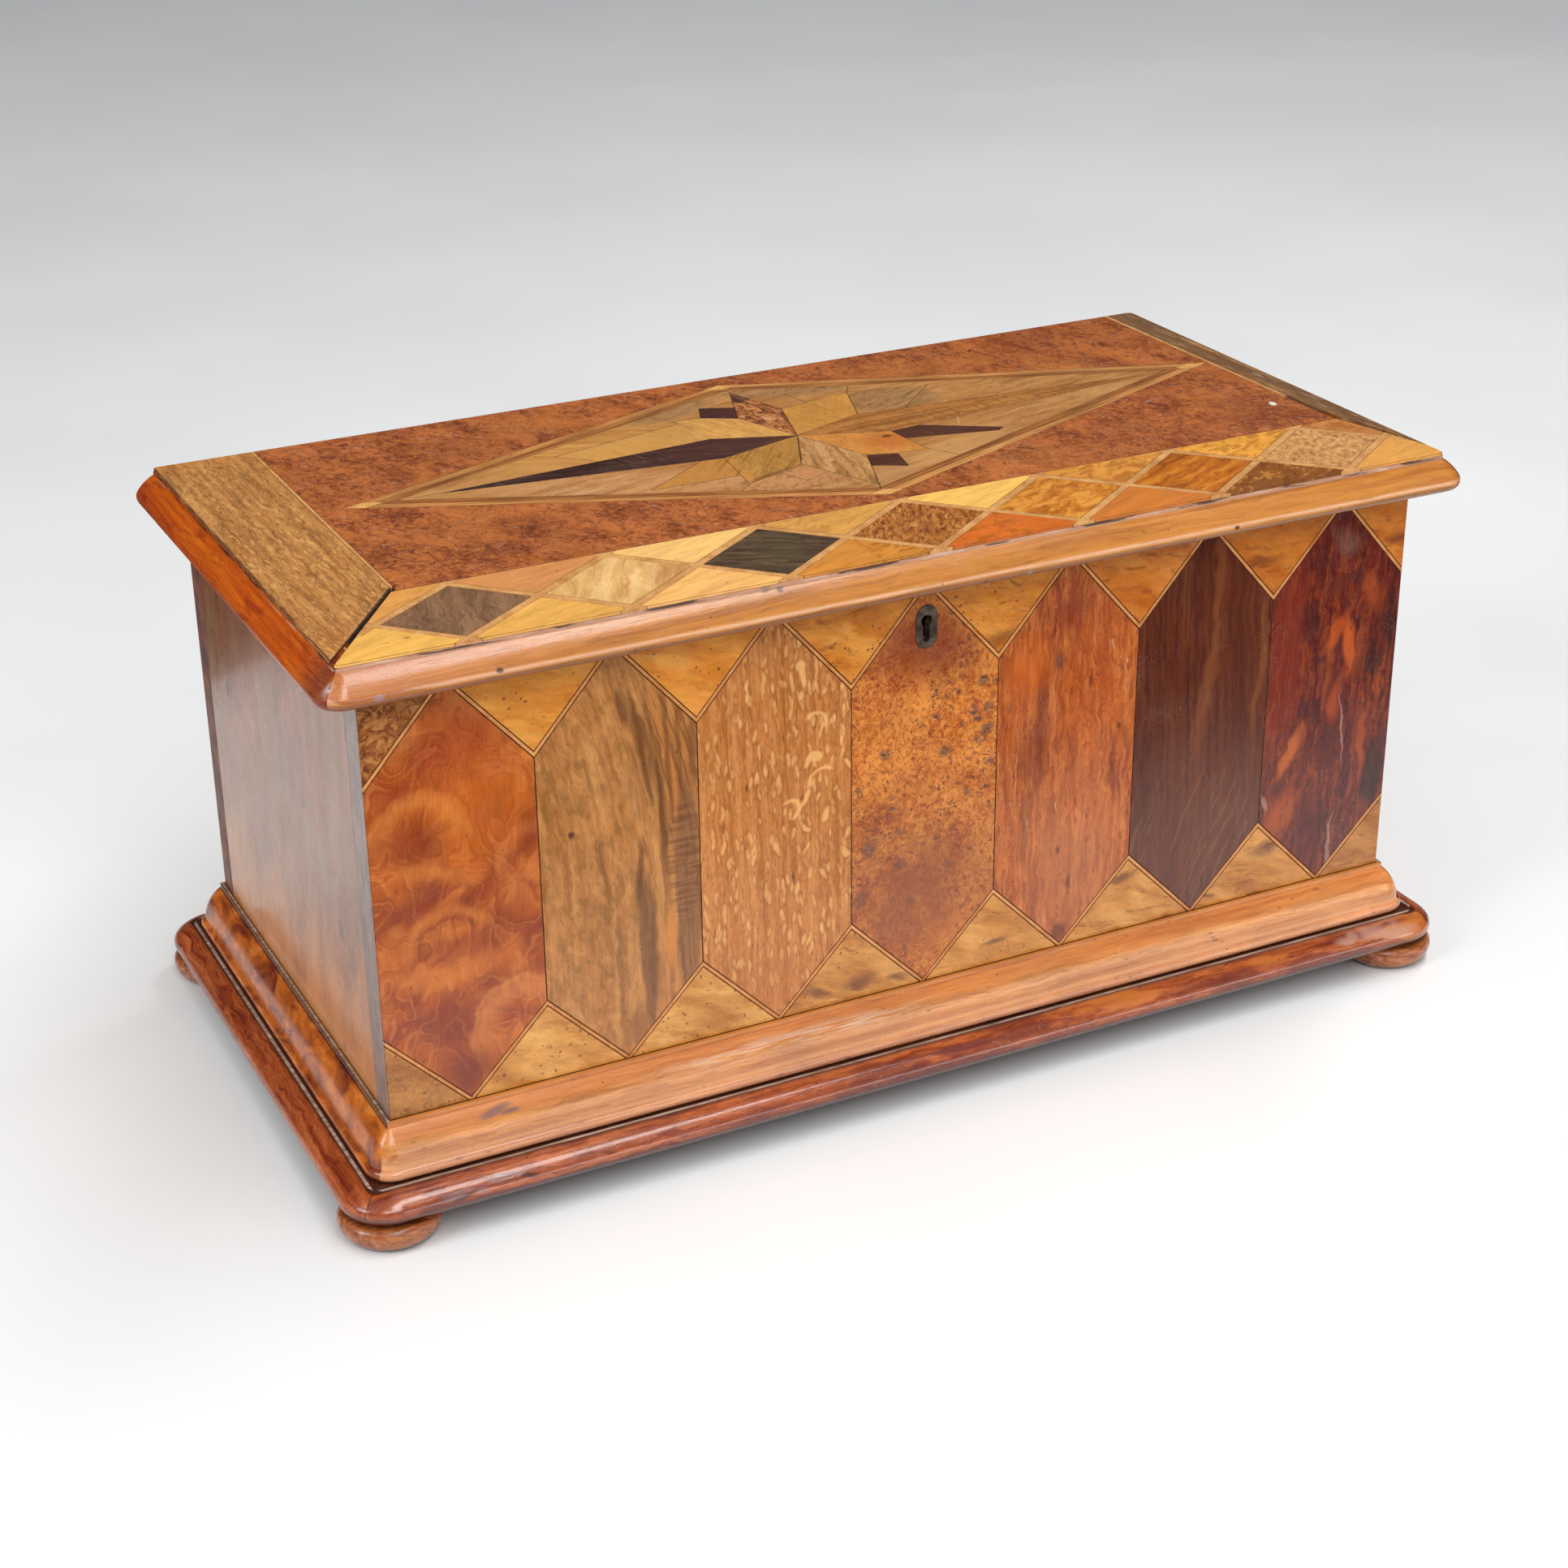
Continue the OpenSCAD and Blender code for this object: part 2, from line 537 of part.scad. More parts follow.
// open mitre at the front left, wider towards the corner
mit_p = [-tx + 2.8, -ty + 6.2];
mit_q = [band_l + 1.5, front_band + 5.6];
mit_n = [mit_q[1] - mit_p[1], mit_p[0] - mit_q[0]] / norm(mit_q - mit_p);
mit_out = mit_p - 10 * (mit_q - mit_p) / norm(mit_q - mit_p);
module mitre_gap() polygon([mit_out + mit_n * 1.15, mit_q + mit_n * 0.4, mit_q - mit_n * 0.4, mit_out - mit_n * 1.15]);
// everything behind that mitre, where the left oak band lies
module left_of_mitre() polygon([mit_out, mit_q, [mit_q[0], ty + 5], [-tx - 9, ty + 5], [-tx - 9, mit_out[1]]]);
module left_band_area() intersection() {
    left_of_mitre();
    translate([-tx - 5, -ty - 5]) square([band_l + tx + 5, 2 * ty + 10]);
}
// the right oak band tapers to the front corner
module right_band_area() polygon([[band_r, ty + 5], [band_r2, front_band + 3], [tx + 0.5, -ty + 7], [tx + 5, -ty + 2], [tx + 5, ty + 5]]);

module lid_oak_band_left() color("tan") on_lid() difference() {
    intersection() {
        lid_outline();
        left_band_area();
    }
    mitre_gap();
    translate([band_l - line_1 - joint_w, front_band + 3]) square([line_1 + 9, 2 * ty]);
}
module lid_oak_band_right() color("tan") on_lid() difference() {
    intersection() {
        lid_outline();
        right_band_area();
    }
    polygon(strip([band_r, ty + 5], [band_r2, front_band + 3], 2 * (line_1 + joint_w)));
    // shrinkage gap towards the front
    polygon([[band_r2 - 2, front_band + 30], [band_r2 + 1.4, front_band + 12], [tx - 2.4, -ty + 23], [tx - 3.4, -ty + 23], [band_r2 - 2, front_band]]);
}

// big rhombus: the tips of its brown line's middle, at the left, back, right and front
rhomb = [[-147, 28.4], [12.2, 88.3], [180.8, 28.3], [12, -41.8]];
rh_in = inset(rhomb, rhomb_brown / 2 + 0.1);
rh_mid = inset(rhomb, -rhomb_brown / 2 + 0.1);
rh_out = inset(rhomb, -rhomb_brown / 2 - rhomb_light + 0.1);
rh_block = inset(rhomb, 0.3);
// small diamonds where the lines of two sides cross
module corner_diamonds(d = 0) for (i = [0:3]) {
    a = rh_out[i];
    b = rh_block[i];
    prev = rh_out[(i + 3) % 4];
    next = rh_out[(i + 1) % 4];
    polygon(inset([a, meet(a, prev, b, b + next - a), b, meet(a, next, b, b + prev - a)], d));
}

module field_area() difference() {
    intersection() {
        lid_outline();
        translate([band_l, front_band]) square([2 * tx, 2 * ty]);
    }
    right_band_area();
    mitre_gap();
}
module lid_burr_fields() color("orangered") on_lid() difference() {
    field_area();
    polygon(inset(rh_out, -joint_w / 2));
    // joints between the four fields, at the tips of the rhombus
    polygon(strip(rh_out[0] - [30, 0], rh_out[0] + [1, 0], joint_w));
    polygon(strip(rh_out[2] - [1, 0], rh_out[2] + [30, 0], joint_w));
    polygon(strip(rh_out[1] - [0, 1], rh_out[1] + [0, 30], joint_w));
    polygon(strip(rh_out[3] - [0, 30], rh_out[3] + [0, 1], joint_w));
    polygon(strip([band_r, ty + 5], [band_r2, front_band - 5], 2 * joint_w));
}
module rhombus_outer_lines() color("tan") on_lid() difference() {
    polygon(rh_out);
    polygon(inset(rh_mid, -joint_w / 2));
    corner_diamonds(-joint_w / 2);
}
module rhombus_corner_blocks() color("gold") on_lid() corner_diamonds();
module rhombus_inner_lines() color("sienna") on_lid() difference() {
    polygon(rh_mid);
    polygon(rh_in);
    corner_diamonds(-joint_w / 2);
    for (i = [0:3]) polygon(strip(rh_in[i], rh_out[i], joint_w, 1));
}

// star: c is its centre, and the named points are where its hand-cut pieces meet
c = [12.2, 25];
k_l = [-127, 27.6];
k_r = [166, 26.6];
k_t = [12.5, 83.5];
k_b = [13.3, -37];
l_up = [-18, 36.4];
l_lo = [-22.5, 14.6];
r_up = [43.8, 37];
r_lo = [45, 13];
t_l = [1.6, 53.4];
t_r = [21.2, 56];
b_l = [-1, -4.4];
b_r = [24.4, -6.6];
d_ul = [-21.5, 61.5];
d_ur = [52.5, 62.7];
d_ll = [-26.7, -14.8];
d_lr = [47.2, -11.2];
function between(p, q, t) = p + t * (q - p);

function arm_left() = [k_l, l_up, c, l_lo];
function arm_right() = [k_r, r_lo, c, r_up];
function arm_top() = [k_t, t_r, c, t_l];
function arm_bottom() = [k_b, b_l, c, b_r];
s_ul = [-10.6, 60.2];
s_lr = [35, -10.2];
function square_ul() = [t_l, s_ul, [-6.2, 71.2], between(t_l, k_t, 0.42)];
function square_lr() = [b_r, between(b_r, k_b, 0.37), [32, -24.2], s_lr];
function square_ur() = [t_r, between(t_r, k_t, 0.4), [30.5, 71.5], between(t_r, d_ur, 0.38)];
function square_ll() = [b_l, between(b_l, d_ll, 0.42), [-7, -21], between(b_l, k_b, 0.37)];
function ray_lr() = [r_lo, between(r_lo, d_lr, 0.4), [80.6, -5], [84, -2.6], between(r_lo, k_r, 0.105)];
function ray_ll() = [l_lo, between(l_lo, k_l, 0.08), [-60, -4.6], [-25, -5.2]];
function ray_ul() = [l_up, [-20.3, 58], [-76, 45], between(l_up, k_l, 0.42)];
function ray_ur() = [r_up, between(r_up, k_r, 0.16), [84, 55.6], d_ur];
function diag_ul() = [c, l_up, d_ul, s_ul, t_l];
function diag_ur() = [c, t_r, d_ur, r_up];
function diag_ll() = [c, b_l, d_ll, l_lo];
function diag_lr() = [c, r_lo, d_lr, s_lr, b_r];
star_pieces = [arm_left(), arm_right(), arm_top(), arm_bottom(), square_ul(), square_lr(), square_ur(), square_ll(),
               ray_lr(), ray_ll(), ray_ul(), ray_ur(), diag_ul(), diag_ur(), diag_ll(), diag_lr()];
module piece(p) polygon(inset(p, joint_w / 2));

module star_dark_pieces() color("#3b2220") on_lid() {
    piece(arm_left());
    piece(square_ul());
    piece(square_lr());
    piece(ray_lr());
}
module star_brown_arms() color("peru") on_lid() {
    piece(arm_right());
    piece(arm_top());
    piece(arm_bottom());
}
module star_golden_pieces() color("gold") on_lid() {
    piece(diag_ul());
    piece(diag_ur());
    piece(diag_ll());
    piece(diag_lr());
    piece(ray_ul());
    difference() {
        piece(ray_ll());
        polygon(inset(diag_ll(), -joint_w / 2));
    }
}
module star_ground() color("burlywood") on_lid() {
    difference() {
        polygon(inset(rh_in, joint_w / 2));
        for (p = star_pieces) polygon(inset(p, -joint_w / 2));
        // joints from the tips of the star to its border
        for (q = [[k_l, rh_in[0]], [k_t, rh_in[1]], [k_r, rh_in[2]], [k_b, rh_in[3]], [d_ul, [-32, 78]], [d_ur, [62, 78]],
                  [d_ll, [-38, -26]], [d_lr, [58, -28]]]) polygon(strip(q[0], q[1], joint_w, 2));
    }
    piece(square_ur());
    piece(square_ll());
    piece(ray_ur());
}

// lozenge band along the front edge of the lid, its lozenges lean a little to the right
loz_x0 = -159.5;
loz_top = front_band - 1.9;
loz_bot = -ty + 1.8;
loz_y = (loz_top + loz_bot) / 2;
lean = 5;
function loz_c(i) = loz_x0 + i * lozenge_pitch;
function loz_pts(i) = [[loz_c(i) - lozenge_pitch / 2, loz_y], [loz_c(i) + lean, loz_top],
                       [loz_c(i) + lozenge_pitch / 2, loz_y], [loz_c(i) - lean, loz_bot]];
// each line of the lattice runs straight past two lozenges
module lattice(w) for (i = [-1:6]) {
    left = loz_pts(0)[0];
    right = loz_pts(6)[2];
    polygon(strip(i < 0 ? left : loz_pts(i)[3], i > 5 ? right : loz_pts(i + 1)[1], w, 8));
    polygon(strip(i < 0 ? left : loz_pts(i)[1], i > 5 ? right : loz_pts(i + 1)[3], w, 8));
}
module lozenge(i) difference() {
    polygon(loz_pts(i));
    lattice(lattice_w + 2 * joint_w);
}
module band_area() difference() {
    intersection() {
        lid_outline();
        translate([-tx - 5, -ty - 5]) square([2 * tx + 10, front_band + ty + 5 - joint_w]);
    }
    left_of_mitre();
    mitre_gap();
    right_band_area();
}
module lozenge_walnut() color("rosybrown") on_lid() lozenge(0);
module lozenges_birdseye() color("wheat") on_lid() {
    lozenge(1);
    lozenge(6);
}
module lozenge_bog_oak() color("darkslategray") on_lid() lozenge(2);
module lozenge_palm() color("sienna") on_lid() lozenge(3);
module lozenges_flame() color("darkgoldenrod") on_lid() {
    lozenge(4);
    lozenge(5);
}
module lozenge_triangles() color("gold") on_lid() difference() {
    band_area();
    for (i = [0:6]) polygon(loz_pts(i));
    lattice(lattice_w + 2 * joint_w);
}
module lid_stringing() color("moccasin") on_lid() {
    intersection() {
        band_area();
        lattice(lattice_w);
    }
    difference() {
        intersection() {
            lid_outline();
            translate([band_l - line_1, front_band + 3]) square([line_1 - joint_w, 2 * ty]);
        }
        mitre_gap();
    }
    intersection() {
        lid_outline();
        right_band_area();
        polygon(strip([band_r, ty + 5], [band_r2, front_band + 3], 2 * line_1));
        translate([0, front_band + 32]) square([2 * tx, 2 * ty]);
    }
}

// ---------- the model ----------

front_board();
back_board();
left_end_board();
right_end_board();
bottom_board();
ogee_moulding_front();
ogee_moulding_back();
ogee_moulding_left();
ogee_moulding_right();
plinth_front();
plinth_back();
plinth_left();
plinth_right();
bun_foot_front_left();
bun_foot_front_right();
bun_foot_back_left();
bun_foot_back_right();
hexagon_mahogany();
hexagon_walnut();
hexagon_oak();
hexagon_burr();
hexagon_padauk();
hexagon_rosewood();
hexagon_kingwood();
front_triangles();
front_stringing();
escutcheon();
lock_plate();
lock_case();
lock_bolt();
lock_spring();
carcase_screws();
hinge_carcase_leaves();
hinge_pins();
lid_board();
lid_moulding_front();
lid_moulding_back();
lid_moulding_left();
lid_moulding_right();
lid_oak_band_left();
lid_oak_band_right();
lid_burr_fields();
rhombus_outer_lines();
rhombus_inner_lines();
rhombus_corner_blocks();
star_dark_pieces();
star_brown_arms();
star_golden_pieces();
star_ground();
lozenge_walnut();
lozenges_birdseye();
lozenge_bog_oak();
lozenge_palm();
lozenges_flame();
lozenge_triangles();
lid_stringing();
link_plate();
hinge_lid_leaves();
lid_screws();
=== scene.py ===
import bpy
import math
from mathutils import Matrix, Vector

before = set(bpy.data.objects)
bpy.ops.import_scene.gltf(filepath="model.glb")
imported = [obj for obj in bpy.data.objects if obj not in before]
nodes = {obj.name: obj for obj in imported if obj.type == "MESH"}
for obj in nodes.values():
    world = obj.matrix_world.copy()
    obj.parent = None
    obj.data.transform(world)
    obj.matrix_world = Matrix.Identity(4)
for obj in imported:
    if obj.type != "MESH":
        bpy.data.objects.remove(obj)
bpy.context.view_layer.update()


# ---------------------------------------------------------------- colours
def lin(c):
    """An 8-bit display colour as linear light."""
    return tuple(v / 255 / 12.92 if v / 255 <= 0.04045 else ((v / 255 + 0.055) / 1.055) ** 2.4 for v in c)


def tint(c, haze=0.028, gain=1.0):
    """The wood's own colour: what the eye sees, less the pale floor mirrored in its polish."""
    return tuple(min(0.9, max(0.004, (v - haze) * gain)) for v in lin(c))


# ---------------------------------------------------------------- shader building
class Finish:
    """One finish built from shader nodes. Lengths are millimetres in the box's own frame.
    plane names the face's two axes, and q is a point in that plane, with the depth third."""

    def __init__(s, name, plane="xz", haze=0.028):
        s.mat = bpy.data.materials.new(name)
        s.mat.use_nodes = True
        s.tree = s.mat.node_tree
        s.tree.nodes.clear()
        s.haze = haze
        s.out = s.node("OutputMaterial")
        s.bsdf = s.node("BsdfPrincipled")
        s.tree.links.new(s.bsdf.outputs[0], s.out.inputs[0])
        s.p = s.vec("SCALE", s.node("TexCoord").outputs["Object"], scale=1000)
        s.x, s.y, s.z = s.split(s.p)
        axes = {"x": s.x, "y": s.y, "z": s.z}
        third = [k for k in "xyz" if k not in plane][0]
        s.q = s.join(axes[plane[0]], axes[plane[1]], axes[third])
        s.seed = 0

    def node(s, kind):
        return s.tree.nodes.new("ShaderNode" + kind)

    def put(s, socket, value):
        if isinstance(value, bpy.types.NodeSocket):
            s.tree.links.new(value, socket)
        elif isinstance(value, (tuple, list)) and socket.type == "RGBA" and len(value) == 3:
            socket.default_value = (*value, 1)
        else:
            socket.default_value = value

    def math(s, op, a, b=None, c=None, clamp=False):
        n = s.node("Math")
        n.operation = op
        n.use_clamp = clamp
        for socket, value in zip(n.inputs, (a, b, c)):
            if value is not None:
                s.put(socket, value)
        return n.outputs[0]

    def vec(s, op, a, b=None, scale=None):
        n = s.node("VectorMath")
        n.operation = op
        s.put(n.inputs[0], a)
        if b is not None:
            s.put(n.inputs[1], b)
        if scale is not None:
            s.put(n.inputs[3], scale)
        return n.outputs["Value"] if op in ("LENGTH", "DOT_PRODUCT", "DISTANCE") else n.outputs[0]

    def split(s, v):
        n = s.node("SeparateXYZ")
        s.put(n.inputs[0], v)
        return n.outputs[0], n.outputs[1], n.outputs[2]

    def join(s, x, y, z):
        n = s.node("CombineXYZ")
        for socket, value in zip(n.inputs, (x, y, z)):
            s.put(socket, value)
        return n.outputs[0]

    def along(s, ang=0, across=1, length=1, q=None, shift=(0, 0, 0)):
        """Coordinates in units of a feature across and length along a grain turned by ang from the plane's second axis."""
        n = s.node("Mapping")
        n.vector_type = "TEXTURE"
        s.put(n.inputs["Vector"], s.q if q is None else q)
        n.inputs["Location"].default_value = shift
        n.inputs["Rotation"].default_value = (0, 0, math.radians(ang))
        n.inputs["Scale"].default_value = (across, length, across)
        return n.outputs[0]

    def noise(s, v, detail=2, rough=0.5, dist=0.0, scale=1.0, colour=False):
        n = s.node("TexNoise")
        s.put(n.inputs["Vector"], v)
        n.inputs["Scale"].default_value = scale
        n.inputs["Detail"].default_value = detail
        n.inputs["Roughness"].default_value = rough
        n.inputs["Distortion"].default_value = dist
        return n.outputs[1 if colour else 0]

    def grain(s, ang, across, length, detail=2, rough=0.5, dist=0.0, q=None):
        s.seed += 1
        return s.noise(s.along(ang, across, length, q, (37.7 * s.seed, 91.3 * s.seed, 13.1 * s.seed)), detail, rough, dist)

    def cells(s, v, scale=1.0, rnd=1.0, feature="F1", out="Distance", smooth=0.3):
        n = s.node("TexVoronoi")
        n.feature = feature
        s.put(n.inputs["Vector"], v)
        n.inputs["Scale"].default_value = scale
        n.inputs["Randomness"].default_value = rnd
        if feature == "SMOOTH_F1":
            n.inputs["Smoothness"].default_value = smooth
        return n.outputs[out]

    def step(s, v, lo, hi):
        n = s.node("MapRange")
        n.interpolation_type = "SMOOTHSTEP"
        s.put(n.inputs["Value"], v)
        n.inputs["From Min"].default_value = lo
        n.inputs["From Max"].default_value = hi
        return n.outputs[0]

    def span(s, v, lo, hi, a, b):
        n = s.node("MapRange")
        s.put(n.inputs["Value"], v)
        for k, value in zip(("From Min", "From Max", "To Min", "To Max"), (lo, hi, a, b)):
            n.inputs[k].default_value = value
        return n.outputs[0]

    def ramp(s, f, stops, hard=False, raw=False):
        n = s.node("ValToRGB")
        n.color_ramp.interpolation = "CONSTANT" if hard else "LINEAR"
        s.put(n.inputs[0], f)
        e = n.color_ramp.elements
        while len(e) < len(stops):
            e.new(0.5)
        for i, (at, c) in enumerate(sorted(stops, key=lambda k: k[0])):
            e[i].position = at
            e[i].color = (*(c if raw else tint(c, s.haze)), 1)
        return n.outputs[0]

    def mix(s, f, a, b, mode="MIX"):
        n = s.node("Mix")
        n.data_type = "RGBA"
        n.blend_type = mode
        s.put(n.inputs[0], f)
        s.put(n.inputs[6], a)
        s.put(n.inputs[7], b)
        return n.outputs[2]

    def over(s, col, c, mask, k=1.0):
        """c laid over col where mask is 1. c is a display colour or a socket."""
        f = mask if k == 1 else s.math("MULTIPLY", mask, k, clamp=True)
        return s.mix(f, col, tint(c, s.haze) if isinstance(c, tuple) else c)

    def both(s, *masks):
        m = masks[0]
        for k in masks[1:]:
            m = s.math("MULTIPLY", m, k)
        return m

    def any(s, *masks):
        m = masks[0]
        for k in masks[1:]:
            m = s.math("MAXIMUM", m, k)
        return m

    def shade(s, col, f, lo, hi, a, b):
        """col made darker or lighter as f goes from lo to hi."""
        return s.vec("SCALE", col, scale=s.span(f, lo, hi, a, b))

    def warp(s, amp, size, detail=2, q=None):
        q = s.q if q is None else q
        s.seed += 1
        n = s.noise(s.along(0, size, size, q, (53.3 * s.seed, 17.9 * s.seed, 7.7)), detail, colour=True)
        return s.vec("ADD", q, s.vec("SCALE", s.vec("SUBTRACT", n, (0.5, 0.5, 0.5)), scale=amp * 4))

    def blob(s, c, r, ang=0, soft=0.5, q=None):
        """1 inside an ellipse of half axes r round c, falling to 0 over its soft rim."""
        n = s.node("Mapping")
        n.vector_type = "TEXTURE"
        s.put(n.inputs["Vector"], s.q if q is None else q)
        n.inputs["Location"].default_value = (c[0], c[1], 0)
        n.inputs["Rotation"].default_value = (0, 0, math.radians(ang))
        n.inputs["Scale"].default_value = (r[0], r[1], 1e4)
        return s.step(s.vec("LENGTH", n.outputs[0]), 1 + soft, 1 - soft)

    def arc(s, c, r, w, ang=0, cut=-0.1, q=None):
        """A bow of line w wide along an ellipse, its open side turned down and then by ang."""
        n = s.node("Mapping")
        n.vector_type = "TEXTURE"
        s.put(n.inputs["Vector"], s.q if q is None else q)
        n.inputs["Location"].default_value = (c[0], c[1], 0)
        n.inputs["Rotation"].default_value = (0, 0, math.radians(ang))
        n.inputs["Scale"].default_value = (r[0], r[1], 1e4)
        d = s.math("ABSOLUTE", s.math("SUBTRACT", s.vec("LENGTH", n.outputs[0]), 1))
        _, v, _ = s.split(n.outputs[0])
        return s.both(s.step(d, w / min(r), 0), s.step(v, cut - 0.25, cut + 0.25))

    def specks(s, size, share, q=None, stretch=1.0, ang=0, soft=0.12):
        """Dark pin holes or dots: small islands, share of them wide."""
        s.seed += 1
        d = s.cells(s.along(ang, size, size * stretch, q, (11.1 * s.seed, 5.3 * s.seed, 3.7 * s.seed)))
        return s.step(d, share + soft, share)

    def timber(s, ang, dark, mid, light, fig=(7, 70), fibre=(0.5, 16), pore=(0.45, 6), q=None,
               dist=0.5, contrast=1.0, pores=0.45, detail=3):
        """Plain wood: a broad figure, fine fibres and short pores, all along one grain."""
        f = s.grain(ang, *fig, detail=detail, dist=dist, q=q)
        g = s.grain(ang, *fibre, detail=2, q=q)
        h = s.grain(ang, *pore, detail=1, q=q)
        v = s.math("ADD", s.math("MULTIPLY", f, 0.68), s.math("MULTIPLY", g, 0.32))
        k = 0.14 / contrast
        col = s.ramp(v, [(0.5 - k * 1.1, dark), (0.5, mid), (0.5 + k * 1.1, light)])
        hole = s.step(h, 0.6, 0.7)
        col = s.over(col, tuple(int(c * 0.62) for c in dark), hole, pores)
        s.relief = s.math("SUBTRACT", g, s.math("MULTIPLY", hole, 0.5))
        return col

    def age(s, col, specks=0.35, scuffs=0.25, patches=0.12):
        """Years of use: uneven tone, pin holes, faint pale scuffs."""
        n = s.noise(s.along(0, 34, 34, s.p), 3, 0.6)
        col = s.shade(col, n, 0.3, 0.7, 1 - patches, 1 + patches)
        if specks:
            far = s.noise(s.along(0, 19, 19, s.p, (7, 3, 1)), 1)
            dots = s.both(s.specks(5.5, 0.06, s.p, soft=0.03), s.step(far, 0.5, 0.62))
            col = s.over(col, (58, 34, 24), dots, specks * 2)
            s.relief = s.math("SUBTRACT", s.relief, dots)
        if scuffs:
            line = s.math("ABSOLUTE", s.math("SUBTRACT", s.grain(31, 1.6, 26, 2, dist=0.6, q=s.p), 0.5))
            where = s.step(s.noise(s.along(0, 23, 23, s.p, (1, 9, 4)), 1), 0.56, 0.66)
            scuff = s.both(s.step(line, 0.012, 0.002), where)
            col = s.over(col, (206, 170, 140), scuff, scuffs)
        return col

    def done(s, col, bump=0.05, rough=0.3, coat=0.25, coat_rough=0.16, smudge=0.07, metal=0.0, spec=0.5):
        s.put(s.bsdf.inputs["Base Color"], col)
        n = s.noise(s.along(0, 15, 15, s.p, (5, 8, 2)), 4, 0.65)
        s.put(s.bsdf.inputs["Roughness"], s.span(n, 0.3, 0.7, rough - smudge, rough + smudge))
        s.bsdf.inputs["Metallic"].default_value = metal
        s.bsdf.inputs["Specular IOR Level"].default_value = spec
        s.bsdf.inputs["Coat Weight"].default_value = coat
        s.bsdf.inputs["Coat Roughness"].default_value = coat_rough
        b = s.node("Bump")
        wave = s.noise(s.along(0, 11, 11, s.p, (2, 4, 6)), 1)
        s.put(b.inputs["Height"], s.math("ADD", s.relief, s.math("MULTIPLY", wave, 1.5)))
        b.inputs["Distance"].default_value = bump * 0.001
        b.inputs["Strength"].default_value = 1.0
        s.put(s.bsdf.inputs["Normal"], b.outputs[0])
        return s.mat


# ---------------------------------------------------------------- woods of the front
def painted_shade_under_lid(s, col):
    """Painted shade: the front grows darker towards its top, under the lid's overhang."""
    n = s.noise(s.along(90, 5, 30, s.p, (3, 1, 4)), 2)
    return s.shade(col, s.math("ADD", s.z, s.math("MULTIPLY", n, 6)), 181, 194, 1.0, 0.72)


